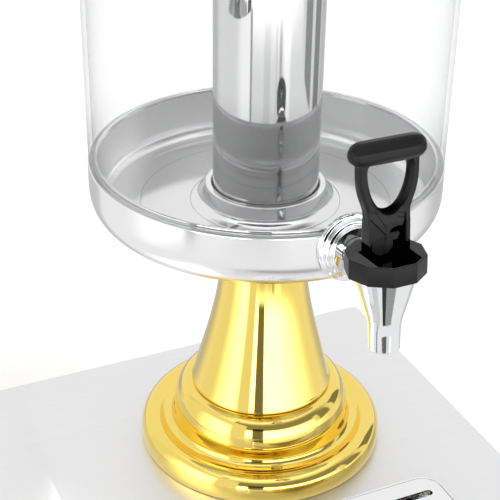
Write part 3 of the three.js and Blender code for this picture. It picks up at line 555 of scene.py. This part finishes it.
def basin(side):
    p = SimpleNamespace(**basinSize)
    floor, rim, r = p.depth - p.floorDepth, p.depth, p.radius
    bowl = bezier((r - p.curve, 0), (r - p.curve * 0.3, 0), (r, p.curve * 0.4), (r, p.curve), 28)
    lip, inner, c = rim + p.lip, r - p.ledge - p.lipWidth, p.chamfer
    top = rounded([bowl[-1], (r, rim), (r - p.ledge, rim), (r - p.ledge, lip - c), (r - p.ledge - c, lip),
                   (inner + c, lip), (inner, lip - c), (inner, floor + p.fillet * 0.9)],
                  [0.7, 0.4, 0.4, 0.4, 0.4, 0.4])
    fillet = bezier((inner, floor + p.fillet * 0.9), (inner, floor + p.fillet * 0.36),
                    (inner - p.fillet * 0.36, floor), (inner - p.fillet, floor), 24)
    ring, cut = p.ringRadius, p.ringDepth
    bottom = rounded([(inner - p.fillet, floor), (ring + 1.2, floor), (ring + 0.2, floor - cut),
                      (ring - 0.2, floor - cut), (ring - 1.4, floor), (20, floor), (0, floor)],
                     [0.5, 0.15, 0.15, 0.5, 1.0])
    profile = np.concatenate([[(0, 0), (20, 0)], bowl, top[1:], fillet[1:], bottom[1:]]) + (0, layout["basinBase"])
    unitPiece("basin_bowl", side, profile, 224, "steel", "basin", closed=False)


vesselSize = {"tubeRadius": 33.2, "tubeWall": 1, "tubeTop": 449.4, "socketWall": 4.6, "socketHeight": 11.8,
              "socketFlange": 47.4, "flare": 4.6, "socketFloor": 2, "socketHole": 9.3, "gasket": 0.8,
              "tankRadius": 109.5, "tankWall": 3, "tankTop": 461.4}


def vessel(side):
    p = SimpleNamespace(**vesselSize)
    base = layout["rim"] - basinSize["floorDepth"] + seatGap
    bore = p.tubeRadius + 0.4
    top, floor, hole, flange = p.socketHeight, p.socketFloor, p.socketHole, p.socketFlange
    ring = bore + p.socketWall
    flare = bezier((flange, 0.02), (ring + p.flare, 0.1), (ring + 0.6, 0.8), (ring, p.flare), 20)
    crown = rounded([(ring, p.flare), (ring, top), (bore, top), (bore, floor), (hole, floor), (hole, 0)],
                    [1.5, 1.3, 0.3, 0.3])
    socket = np.concatenate([[(hole, -0.25), (flange, -0.25)], flare, crown[1:-1]]) + (0, base)
    unitPiece("socket_ring", side, socket, 144, "steel", "tube_socket")
    low, high, r, t = base + floor + seatGap, p.tubeTop, p.tubeRadius, p.tubeWall
    tube = rounded([(0, low), (r, low), (r, high - 1.2), (r + 0.5, high), (r - t, high), (r - t, low + t),
                    (0, low + t)], [0.6, 1.0, 0.4, 0.3, 0.4])
    unitPiece("tube_shell", side, tube, 144, "steel", "ice_tube", closed=False)
    seal = layout["rim"] + seatGap
    outer, inner = p.tankRadius - 0.6, basinSize["radius"] - basinSize["ledge"] + 0.6
    top = seal + p.gasket
    gasket = rounded([(inner + 1, seal), (outer, seal), (outer, top), (inner, top), (inner, seal), (inner + 1, seal)],
                     0.2, 4)
    unitPiece("gasket_ring", side, gasket, 160, "silicone", "tank_gasket")
    r, t, low, high = p.tankRadius, p.tankWall, top + seatGap, p.tankTop
    wall = rounded([(r - t / 2, low), (r, low), (r, high), (r - t, high), (r - t, low), (r - t / 2, low)],
                   [0.3, 0.8, 0.8, 0.3])
    unitPiece("tank_shell", side, wall, 192, "clear", "tank")


lidSize = {"skirt": 9, "gap": 0.9, "sheet": 1.2, "rise": 11, "shoulder": 14, "knobRadius": 13, "knobHeight": 30,
           "knobNeck": 6}


def lid(side):
    p = SimpleNamespace(**lidSize)
    outer = vesselSize["tankRadius"] + p.gap + p.sheet
    seat = vesselSize["tankTop"] + seatGap + p.sheet
    crown = bezier((2.8, seat + p.rise), (outer * 0.4, seat + p.rise), (outer * 0.72, seat + p.rise * 0.66),
                   (outer - p.shoulder, seat + p.rise * 0.3), 30)
    step = rounded([crown[-1], (outer - p.shoulder / 2, seat), (outer, seat), (outer, seat - p.skirt),
                    (outer - p.sheet, seat - p.skirt)], [2.6, 1.8, 0.5])
    under = rounded([(outer - p.sheet, seat - p.skirt), (outer - p.sheet, seat - p.sheet),
                     (outer - p.shoulder / 2, seat - p.sheet), crown[-1] - (0, p.sheet)], [1.0, 2.0])
    profile = np.concatenate([crown, step[1:], under[1:], crown[::-1][1:] - (0, p.sheet)])
    unitPiece("lid_cap", side, profile, 224, "steel", "lid", f"{side}_lid")
    base = seat + p.rise + seatGap
    h, r, n = p.knobHeight, p.knobRadius, p.knobNeck
    middle = h - r
    ball = bezier((n, middle / 2), (n + 1, middle / 2 + 2.2), (r, middle - 5), (r, middle), 16)
    top = bezier((r, middle), (r, middle + 8), (r * 0.56, h), (0, h), 24)
    foot = rounded([(0, 0), (n * 1.5, 0), (n * 1.5, 1.2), (n, 3), (n, middle / 2)], [0.4, 0.6, 1.5])
    knob = np.concatenate([foot, ball[1:], top[1:]]) + (0, base)
    unitPiece("lid_ball", side, knob, 96, "gold", "lid_knob", f"{side}_lid", False)


for side in sides:
    pedestal(side)
    basin(side)
    vessel(side)
    lid(side)
print("pedestals, basins, tanks and lids made")


tapSize = {"bodyTop": (17.3, -4.5), "shoulder": (14.5, -14.5), "spoutTop": (8.9, -34), "spoutBottom": -50,
           "bore": 6.3, "neck": 8.6, "neckLevel": -5.5, "neckEnd": 33, "shank": 6.3, "shankEnd": 57,
           "flange": 20, "step": 2.8, "stepDepth": 2.7, "collarRadius": 22, "collarTop": 7, "collarBottom": -4.2,
           "slotHalf": 12.8, "slotBack": 6.4, "slotLip": 1.4, "taper": 0.30}


def alongWall(profile, turns, level):  # a turned shape whose axis runs into the wall, +Y
    points, faces = turned(profile, turns)
    return np.stack([points[:, 0], points[:, 2], level - points[:, 1]], axis=-1), faces


def decagon(radius):
    angle = 2 * np.pi * (np.arange(10) + 0.5) / 10 - np.pi / 2
    return np.stack([radius * np.cos(angle), radius * np.sin(angle)], axis=-1)


def clippedSlot(p):  # the slot's rectangle, its front following the ten sides just inside the edge
    front = decagon(p.collarRadius - p.slotLip)
    half, back = p.slotHalf, p.slotBack
    edge = sorted([tuple(point) for point in front if point[1] < 0 and abs(point[0]) < half])
    side = [point for point in front if point[1] < 0 and point[0] > half][0]
    inner = edge[-1]
    y = inner[1] + (side[1] - inner[1]) * (half - inner[0]) / (side[0] - inner[0])
    return np.array([(-half, back), (-half, y), *edge, (half, y), (half, back)])


def tap(side):
    p = SimpleNamespace(**tapSize)
    place = tapMatrix(side)
    (topR, topZ), (shoulderR, shoulderZ), (spoutR, spoutZ) = p.bodyTop, p.shoulder, p.spoutTop
    low = p.spoutBottom
    cup = rounded([(10, topZ), (topR, topZ), (shoulderR, shoulderZ), (spoutR, spoutZ),
                   (spoutR - p.taper, low), (p.bore, low),
                   (p.bore, -27), (7.8, -27), (11, -15), (11, topZ), (12, topZ)],
                  [0.6, 6.0, 5.0, 0.9, 0.6, 0.3, 0.4, 2.0, 0.4], 8)
    neck = rounded([(0, 13), (p.neck, 13), (p.neck, p.neckEnd), (p.shank, p.neckEnd),
                    (p.shank, p.shankEnd), (3, p.shankEnd), (3, p.shankEnd - 6), (0, p.shankEnd - 6)],
                   [0.5, 0.3, 0.3, 0.5, 0.4, 0.3])
    surfaces = [turned(cup, 128, True), alongWall(neck, 64, p.neckLevel)]
    piece(f"tap_shell_{side}", [moved(surface, place) for surface in surfaces], "chrome", "stand", f"tap_body_{side}")
    wall = p.stepDepth + layout["tapReach"] - basinSize["radius"]
    hole, radius = p.neck + 0.3, p.flange - 2 * p.step
    line = [(hole, wall - 3 * p.stepDepth - 1.2)]
    for index in range(3):
        near = wall - (3 - index) * p.stepDepth - 1.2
        line += [(radius, near), (radius, near + p.stepDepth - 0.5)]
        radius += p.step
    line += [(p.flange, wall + 0.2), (hole, wall + 0.2), (hole, wall - 3 * p.stepDepth - 0.6)]
    profile = rounded(line, [0.9, 0.8] * 3 + [0.3, 0.3], 6)
    points, faces = alongWall(profile, 128, p.neckLevel)
    behind = points[:, 1] > wall - 1.0  # the back of the widest ring follows the round wall
    lean = layout["tapLean"]
    reach = np.sqrt((basinSize["radius"] + 0.15) ** 2 - points[:, 0] ** 2)
    onWall = (layout["tapReach"] - reach - points[:, 2] * np.sin(lean)) / np.cos(lean)
    points[:, 1] = np.where(behind, onWall - 0.02, points[:, 1])
    piece(f"flange_rings_{side}", [moved((points, faces), place)], "chrome", "stand", f"tap_flange_{side}")
    low = p.collarBottom
    *collar, hollow = ringed(decagon(p.collarRadius), clippedSlot(p), (0, -5.5), low, p.collarTop, 0.5, 0.3)
    hole, outer, top = 4.2, p.collarRadius - 2.5, low + 0.4  # a thin web closes the slot below, round the stem; it and the slot's chamfer get painted shade
    web = turned([(hole, low), (outer, low), (outer, top), (hole, top)], 96, True)
    piece(f"collar_ring_{side}", [moved(collar, place), moved(web, place)], "black", "stand", f"tap_collar_{side}",
          paintedShades=[hollow, np.ones(len(web[0]))])


handleSize = {"pivot": 1.5, "half": 12.2, "depth": 10, "blockTop": 25, "armHalf": 17.4, "armDepth": 8,
              "openHalf": 12.6, "openLow": 31, "openHigh": 57.5, "bar": 63.5, "barLength": 44.5, "barHeight": 12.8,
              "barDepth": 12.4, "bevel": 1.9, "chamfer": 1.8, "roof": 33.0, "frontLow": -3.4, "margin": 0.06,
              "moon": (4.2, 18.8, 5.3, 4.0), "step": 1.1, "shade": 14.4,
              "pocketHalf": 3.6, "pocketTop": 10, "pocketFront": -2.6, "swing": 1.8}


def handleOutlines(p):
    rise = p.bar - p.blockTop
    bend = bezier((p.half, p.blockTop), (p.half, p.blockTop + rise * 0.3),
                  (p.armHalf, p.blockTop + rise * 0.3), (p.armHalf, p.blockTop + rise * 0.72), 24)
    right = np.concatenate([[(p.half - 2.5, p.pivot - 5), (p.half, p.pivot - 2.5)], bend,
                            [(p.armHalf, p.bar)]])
    outer = np.concatenate([right, right[::-1] * (-1, 1)])
    half, low, high = p.openHalf, p.openLow, p.openHigh
    rise = high - low
    flank = bezier((0, low), (half * 0.6, low), (half, low + rise * 0.45), (half, high - rise * 0.15), 30)
    right = np.concatenate([flank, [(half * 0.97, high - rise * 0.06), (half * 0.85, high)]])
    inner = np.concatenate([right, right[::-1][:-1] * (-1, 1)])
    return outer, inner


def halfDepth(p, z):  # a half round about the pivot, a flat block, then thinner arms
    level = np.clip(p.pivot - z, 0, p.depth / 2 - 0.05)
    block = np.sqrt((p.depth / 2) ** 2 - level ** 2)
    thin = np.clip((z - p.blockTop) / (p.openLow - p.blockTop), 0, 1)
    return block + (p.armDepth / 2 - block) * thin


def blurStep(value, width=0.35):  # 0 below zero, 1 above width: 3 t^2 - 2 t^3
    t = np.clip(value / width, 0, 1)
    return t * t * (3 - 2 * t)


def withoutBox(surface, hollow, low, high):  # a closed surface less a box, in triangles; the new walls get full painted shade
    corners = [[(low, high)[(index >> axis) & 1][axis] for axis in range(3)] for index in range(8)]
    boxFaces = [(0, 2, 3, 1), (4, 5, 7, 6), (0, 1, 5, 4), (2, 6, 7, 3), (0, 4, 6, 2), (1, 3, 7, 5)]
    pair = []
    for name, points, faces in (("body", surface[0].tolist(), surface[1].tolist()), ("cutter", corners, boxFaces)):
        mesh = bpy.data.meshes.new(name)
        mesh.from_pydata(points, [], faces)
        pair.append(linked(name, mesh))
    body, cutter = pair
    body.data.attributes.new("hollow", "FLOAT", "POINT").data.foreach_set("value", hollow)
    outward(body.data, 1e-4)
    modifier = body.modifiers.new("cut", "BOOLEAN")
    modifier.operation, modifier.solver, modifier.object = "DIFFERENCE", "EXACT", cutter
    cut = evaluated(body)
    cut.calc_loop_triangles()
    points, faces = verticesOf(cut), np.zeros(3 * len(cut.loop_triangles), int)
    cut.loop_triangles.foreach_get("vertices", faces)
    hollow = np.zeros(len(points))
    cut.attributes["hollow"].data.foreach_get("value", hollow)
    inside = np.all((points > np.array(low) - 1e-3) & (points < np.array(high) + 1e-3), axis=1)
    for mesh in (body.data, cutter.data, cut):
        bpy.data.meshes.remove(mesh)  # and its object with it
    return (points, faces.reshape(-1, 3)), np.maximum(hollow, inside)


def frontRelief(p, x, z):  # how far the moulded front lies behind its foremost plane at (x, z), and the painted shade of its deep parts
    ridge = (29.6 - 1.12 * (x + 12.2)) - z  # above zero below the line that runs down to the middle
    strip = (34.2 - 1.62 * (x + 9.6)) - z  # a second, steeper line inside it
    left = blurStep(-2.0 - x, 1.2)
    relief = left * (blurStep(strip, 0.5) * 0.45 + blurStep(ridge, 0.5) * p.step)
    notch = blurStep(x - 4.2) * blurStep(9.4 - x) * blurStep(30.0 - 0.14 * (x - 4) - z)
    relief = relief + notch * blurStep(z - 27.6 + 0.3 * (x - 4)) * 0.7
    moonX, moonZ, moonHalf, moonHeight = p.moon
    arc = moonHeight * np.sqrt(np.clip(1 - ((x - moonX) / moonHalf) ** 2, 0, 1))
    moon = blurStep(z - moonZ + 0.12) * blurStep(moonZ + arc - z)
    square = blurStep(x - 1.3) * blurStep(9.8 - x) * blurStep(15.4 - z)
    tongue = blurStep(x + 9.9) * blurStep(1.4 - x)
    face = tongue * blurStep(17.6 + 0.25 * x - z, 0.5)
    bottom = np.where(x < -9.9, p.shade, np.where(x > 9.8, p.shade - 1.5, 7.4 + 0.12 * (x + 4.4) ** 2))
    under = blurStep(bottom - z, 0.5)
    relief = relief + face * 0.45
    for mask, depth in ((moon, 2.6), (square, 1.9), (under, 1.9)):
        relief = relief + (depth - relief) * mask
    return relief, np.maximum(np.maximum(moon, square), under)


def handle(side):
    p = SimpleNamespace(**handleSize)
    outer, inner = handleOutlines(p)
    full = p.depth / 2
    points, faces, hollow = ringed(outer, inner, (0, 45), -full, full, p.bevel, p.chamfer, 420, 30)
    x, z, face = points[:, 0], points[:, 1], points[:, 2]
    half = halfDepth(p, z)
    y = np.sign(face) * np.maximum(np.abs(face) - (full - half), np.abs(face) * 0.01)
    flank = outer[: len(outer) // 2]
    sill = inner[:31]  # the lower edge of the finger opening, from its middle to its side
    reach = np.interp(z, flank[:, 1], flank[:, 0])
    lowest = np.interp(np.abs(x), sill[:, 0], sill[:, 1]) - p.chamfer
    inset = np.minimum(np.minimum(reach - np.abs(x), p.roof - z), lowest - z)
    y = np.where(y < -1.0, y + (-1.0 - y) * blurStep(inset - 0.5, 1.0), y)
    surfaces = [(np.stack([x, y, z], axis=-1), faces)]
    hollow = hollow * (0.45 + 0.55 * blurStep(37 - z, 6))  # painted shade, darkest low in the finger opening
    # painted shade in full over the block below the shade height
    paintedShades = [np.maximum(hollow, blurStep(p.shade - z, 0.6))]
    # moulded front: point (u, v) = (u w(v), -h(z) + relief, z(v)), a closed slab behind it
    u = np.linspace(-1, 1, 150)[:, None]
    v = np.linspace(0, 1, 210)[None, :]
    width = 12.4 * np.ones_like(v)
    for turn in range(3):  # width follows the height and the top follows the opening, so both settle together
        gridX = u * width
        roof = np.minimum(np.interp(np.abs(gridX), sill[:, 0], sill[:, 1]) - p.chamfer, p.roof)
        gridZ = p.frontLow + v * (roof - p.frontLow)
        width = np.interp(gridZ, flank[:, 1], flank[:, 0]) - p.margin
    gridX = u * width
    t = np.clip(1 - (width - np.abs(gridX)) / p.bevel, 0, 1)
    edge = p.bevel * (1 - np.sqrt(1 - t ** 2))
    relief, deep = frontRelief(p, gridX, gridZ)
    front = -halfDepth(p, gridZ) + np.maximum(relief, edge) + 0.04 * blurStep(v - 0.985, 0.01)
    front = np.minimum(front, -0.3)
    sheet, plane = surfaceOf(gridX, front, gridZ, False, False)
    rear = surfaceOf(gridX, -0.25, gridZ, False, False)[0]
    rows, columns = front.shape
    count = rows * columns
    order = np.arange(count).reshape(rows, columns)
    rim = np.concatenate([order[:, 0], order[-1, 1:], order[::-1, -1][1:], order[0, ::-1][1:-1]])
    nextRim = np.roll(rim, -1)
    walls = np.stack([rim, nextRim, nextRim + count, rim + count], axis=-1)
    surfaces.append((np.concatenate([sheet, rear]), np.concatenate([plane, plane[:, ::-1] + count, walls])))
    # painted shade on the front's deep parts and low outer sides, and on the whole slab's back below the shade height
    shaded = blurStep(p.shade - gridZ, 0.6)
    deep = np.maximum(deep, shaded * blurStep(np.abs(gridX) - 10.4, 0.6))
    paintedShades.append(np.concatenate([deep.ravel(), shaded.ravel()]))
    # pocket for the valve stem: open to the back, and to the front too below the pin
    half, back = p.pocketHalf, p.depth
    for corner, farCorner in (((-half, p.pocketFront, -back), (half, back, p.pocketTop)),
                              ((-half, -back, -back), (half, back, p.swing))):
        for index in range(2):
            surfaces[index], paintedShades[index] = withoutBox(surfaces[index], paintedShades[index], corner, farCorner)
    # bar: a rounded eight-sided section drawn in towards both ends
    deep, high = p.barDepth / 2, p.barHeight / 2
    section = np.array([(-deep, 1.5), (-deep, -3.0), (-3.2, -high), (3.2, -high), (deep, -3.0), (deep, 1.5),
                        (2.6, high), (-2.6, high)])
    loop = rounded(np.concatenate([section[-1:], section, section[:1]]), 1.3, 7)[1:-1]
    u = np.linspace(-1, 1, 72)
    u = np.sign(u) * (1 - (1 - np.abs(u)) ** 1.6)
    size = ((1 - np.abs(u) ** 8) ** 0.5)[:, None]
    surfaces.append(surfaceOf(u[:, None] * p.barLength / 2, size * loop[None, :, 0], p.bar + size * loop[None, :, 1],
                              False, True))
    paintedShades.append(np.zeros(len(surfaces[-1][0])))
    grip = piece(f"handle_grip_{side}", [moved(surface, tapMatrix(side)) for surface in surfaces], "black",
                 f"{side}_handle", f"tap_handle_{side}", paintedShades=paintedShades)
    grip.visible_glossy = False  # kept out of the mirror of the ice tube


for side in sides:
    tap(side)
    handle(side)
print("taps made")


traySize = {"width": 150, "depth": 110, "height": 13, "corner": 14, "wall": 1.4, "ledge": 3.4, "toAxis": 160,
            "grid": 1.5, "edge": 0.25, "frame": 8, "slot": 5, "pitch": 11}


def dripTray(side):
    p = SimpleNamespace(**traySize)
    place = unitMatrix(side) @ np.array(Matrix.Translation((0, -p.toAxis, seatGap)))
    h, w, t = p.height, p.wall, p.grid + seatGap
    middle = p.depth / 2
    profile = rounded([(middle, 0), (0, 0), (0, h), (w, h), (w, h - t), (w + p.ledge, h - t), (w + p.ledge, w),
                       (middle, w)], [1.6, 0.5, 0.5, 0.3, 0.6, 1.2])
    piece(f"tray_pan_{side}", [moved(framed(profile, p.width / 2, middle, p.corner, 12), place)], "steel",
          f"{side}_tray", f"drip_tray_{side}")
    margin = w + seatGap
    width, depth = p.width - 2 * margin, p.depth - 2 * margin
    run = width - 2 * p.frame - p.slot
    count = int((depth - 2 * p.frame - p.slot) // p.pitch) + 1
    edge = p.edge
    flat = bpy.data.curves.new("gridOutline", "CURVE")
    flat.dimensions, flat.fill_mode = "2D", "BOTH"
    flat.extrude, flat.bevel_depth, flat.bevel_resolution = (p.grid / 2 - edge) * mm, edge * mm, 2
    outlines = [framed([(edge, 0)], width / 2, depth / 2, p.corner - margin, 12)[0][:, :2]]
    turn = np.concatenate([np.linspace(-0.5, 0.5, 13), np.linspace(0.5, 1.5, 13)]) * np.pi
    ends = np.repeat([1, -1], 13) * run / 2
    for index in range(count):
        level = (index - (count - 1) / 2) * p.pitch
        radius = p.slot / 2 + edge
        outlines.append(np.stack([ends + radius * np.cos(turn), level + radius * np.sin(turn)], axis=-1))
    for outline in outlines:
        line = flat.splines.new("POLY")
        line.points.add(len(outline) - 1)
        line.use_cyclic_u = True
        corners = np.column_stack([outline * mm, np.zeros(len(outline)), np.ones(len(outline))])
        line.points.foreach_set("co", corners.ravel())
    holder = linked("gridOutline", flat)
    mesh = evaluated(holder)
    bpy.data.objects.remove(holder)
    points = verticesOf(mesh) / mm + (0, 0, h - p.grid / 2)
    faces = [list(polygon.vertices) for polygon in mesh.polygons]
    made = bpy.data.meshes.new(f"grid_sheet_{side}")
    made.from_pydata((moved((points, faces), place)[0] * mm).tolist(), [], faces)
    outward(made, 1e-6)
    dress(made, "steel", f"{side}_grid", f"drip_grid_{side}")


for side in sides:
    dripTray(side)
print("drip trays made")


# the nodes that keep their own solids get a finish
slotOf = {entry["node"]: entry["material_slot"] for entry in frame["record"]["subparts"]}
for name, node in frame["nodes"].items():
    node.data.materials.clear()
    node.data.materials.append(finishes[slotOf[name]])


view = {"place": (-0.1520, -0.5678, 0.5640), "yaw": 24.89, "pitch": 29.63, "roll": 0.98, "lens": 89.29}


def addCamera():
    yaw, pitch, roll = (np.radians(view[key]) for key in ("yaw", "pitch", "roll"))
    forward = np.array([np.sin(yaw) * np.cos(pitch), np.cos(yaw) * np.cos(pitch), -np.sin(pitch)])
    level = np.array([np.cos(yaw), -np.sin(yaw), 0])
    up = np.cross(level, forward)
    right = np.cos(roll) * level + np.sin(roll) * up
    up = -np.sin(roll) * level + np.cos(roll) * up
    camera = linked("camera", bpy.data.cameras.new("camera"))
    camera.data.lens = view["lens"]
    camera.data.clip_start = 0.01
    rows = np.stack([right, up, -forward, view["place"]], axis=1)
    camera.matrix_world = Matrix([*rows.tolist(), (0, 0, 0, 1)])
    bpy.context.scene.camera = camera


addCamera()


studio = {"floorSize": 6.0, "floor": (0.86, 0.86, 0.865, 1), "floorGlow": 0.22, "diffuse": 0.72,
          "below": 0.96, "behindBelow": 0.58, "panel": 3.2, "middle": 0.30, "ceiling": 1.5, "back": 0.98,
          "card": 0.93}
tubeRises = (-24.5, -20, 1.5)  # degrees, what the ice tube mirrors of the studio
roomBands = {  # angle and rise in degrees, each from, to and softness, and how much the light changes there
    "tubeMiddle": ((-7, 2, 4), tubeRises, -0.17),
    "tubeLine": ((15, 17, 1), tubeRises, -0.20),
    "tubeFrame": ((23, 26, 2), tubeRises, -0.45),
    "tubeStreak": ((34, 42, 6), tubeRises, 0.34),
    "spoutEnd": ((-22, 11, 2), (-26.3, -24.2, 0.3), -0.86),
    "goldLine": ((-9, 3, 2), (-15, 24, 4), -0.95),
    "spoutLine": ((-12, 4, 3), (-90, -48, 4), -0.95),
    "spoutShade": ((6, 44, 4), (-90, -47, 4), -0.62)}


def addFloor():
    half = studio["floorSize"]
    mesh = bpy.data.meshes.new("floor")
    mesh.from_pydata([(-half, -half, 0), (half, -half, 0), (half, half, 0), (-half, half, 0)], [], [(0, 1, 2, 3)])
    floor = linked("floor", mesh)
    material, graph = newMaterial("paleFloor")
    camera, mirror, through = graph.rays()
    shown = camera.call("MAXIMUM", mirror).call("MAXIMUM", through)
    glow = graph.node("ShaderNodeEmission", {}, {"Color": (1, 1, 1, 1), "Strength": shown * studio["floorGlow"]})
    matt = graph.node("ShaderNodeBsdfDiffuse", {}, {"Color": studio["floor"]})
    both = graph.node("ShaderNodeAddShader", {}, [matt, glow])
    clear = graph.node("ShaderNodeBsdfTransparent")  # mirrors look through to the pale studio below the horizon too
    graph.node("ShaderNodeOutputMaterial", {}, [graph.node("ShaderNodeMixShader", {}, [mirror, both, clear])])
    mesh.materials.append(material)


def addWorld():  # white for the camera; mirrors see a low soft box in front, a dim band over it, a pale back
    world = bpy.data.worlds.new("studio")
    bpy.context.scene.world = world
    graph = Graph(world)
    x, y, z = graph.axes(graph.node("ShaderNodeTexCoord", output=0))
    yaw = np.radians(view["yaw"])
    toward = x * -np.sin(yaw) - y * np.cos(yaw)
    right = x * np.cos(yaw) - y * np.sin(yaw)
    angle = right.call("ARCTAN2", toward) * (180 / np.pi)  # 0 towards the camera, + to its right
    rise = z.call("ARCSINE") * (180 / np.pi)
    turn = angle.call("ABSOLUTE")
    box = (1 - turn.between(20, 100)) * band(rise, -12, 12, 10)
    dim = (1 - turn.between(85, 125)) * rise.between(12, 24) * (1 - rise.between(42, 60))
    behind = turn.between(112, 142) * (studio["below"] - studio["behindBelow"])
    above = studio["back"] + rise.between(50, 70) * (studio["ceiling"] - studio["back"])
    level = studio["below"] - behind
    level = level + rise.between(-6, 2) * (above - level)
    level = (level + box * studio["panel"]) * (1 - dim * (1 - studio["middle"]))
    for across, upward, change in roomBands.values():
        level = level * (1 + band(angle, *across) * band(rise, *upward) * change)
    camera, mirror, through = graph.rays()
    shown = camera.call("MAXIMUM", through)
    mirror = mirror * (1 - shown)
    rest = (1 - shown) * (1 - mirror)
    total = shown + mirror * level + rest * studio["diffuse"]
    background = graph.node("ShaderNodeBackground", {}, {"Color": (1, 1, 1, 1), "Strength": total})
    graph.node("ShaderNodeOutputWorld", {}, [background])


cards = {  # stripes: from, to and softness along y, and how much the light changes there above the split
    "between": {"x": 0.0, "along": (-0.042, 0.15), "levels": (0.027, 0.29), "split": 0.19, "glow": 1.9,
                "stripes": [(-0.018, 0.012, 0.05, 0.40), (-0.042, -0.029, 0.003, -0.62)]},
    "betweenFront": {"x": 0.0, "along": (-0.11, -0.042), "levels": (0.027, 0.19), "split": 0.19, "glow": 0,
                     "stripes": []},
    "flag": {"x": 0.62, "along": (-0.40, 0.16), "levels": (0.07, 0.34), "split": 0.07, "glow": 0,
             "stripes": [(-0.28, -0.13, 0.04, -0.70), (-0.02, 0.13, 0.02, -0.74)]}}


def addCards():  # upright studio cards along y that only the mirror finishes see
    for name, card in cards.items():
        x, (start, end), (low, high) = card["x"], card["along"], card["levels"]
        mesh = bpy.data.meshes.new(name)
        mesh.from_pydata([(x, start, low), (x, end, low), (x, end, high), (x, start, high)], [], [(0, 1, 2, 3)])
        made = linked(name, mesh)
        material, graph = newMaterial(name)
        y, z = graph.axes(graph.coordinates())[1:]
        glow = (1 - z.between(0.10, 0.14)) * (1 - y.between(0.0, 0.09)) * y.between(-0.045, -0.02) * card["glow"]
        upper = z.between(card["split"] - 0.005, card["split"] + 0.005)
        level = studio["card"]
        for near, far, soft, change in card["stripes"]:
            level = level * (1 + upper * band(y, near, far, soft) * change)
        light = graph.node("ShaderNodeEmission", {}, {"Color": (1, 1, 1, 1), "Strength": glow + level})
        graph.node("ShaderNodeOutputMaterial", {}, [light])
        mesh.materials.append(material)
        made.visible_camera = made.visible_diffuse = made.visible_transmission = made.visible_shadow = False


lamps = {"key": {"place": (-1.3, -1.2, 1.7), "size": 1.2, "power": 16},
         "fill": {"place": (1.6, -1.0, 1.3), "size": 1.2, "power": 8},
         "top": {"place": (0.1, 0.5, 2.2), "size": 1.6, "power": 12}}


def addLamps():
    for name, values in lamps.items():
        data = bpy.data.lights.new(name, "AREA")
        data.shape, data.size, data.energy = "SQUARE", values["size"], values["power"]
        lamp = linked(name, data)
        aim = Vector((0.0, 0.0, 0.2)) - Vector(values["place"])
        lamp.matrix_world = Matrix.Translation(values["place"]) @ aim.to_track_quat("-Z", "Y").to_matrix().to_4x4()
        lamp.visible_glossy = False


addFloor()
addWorld()
addCards()
addLamps()
bpy.context.scene.view_settings.view_transform = "Standard"
print("studio made")
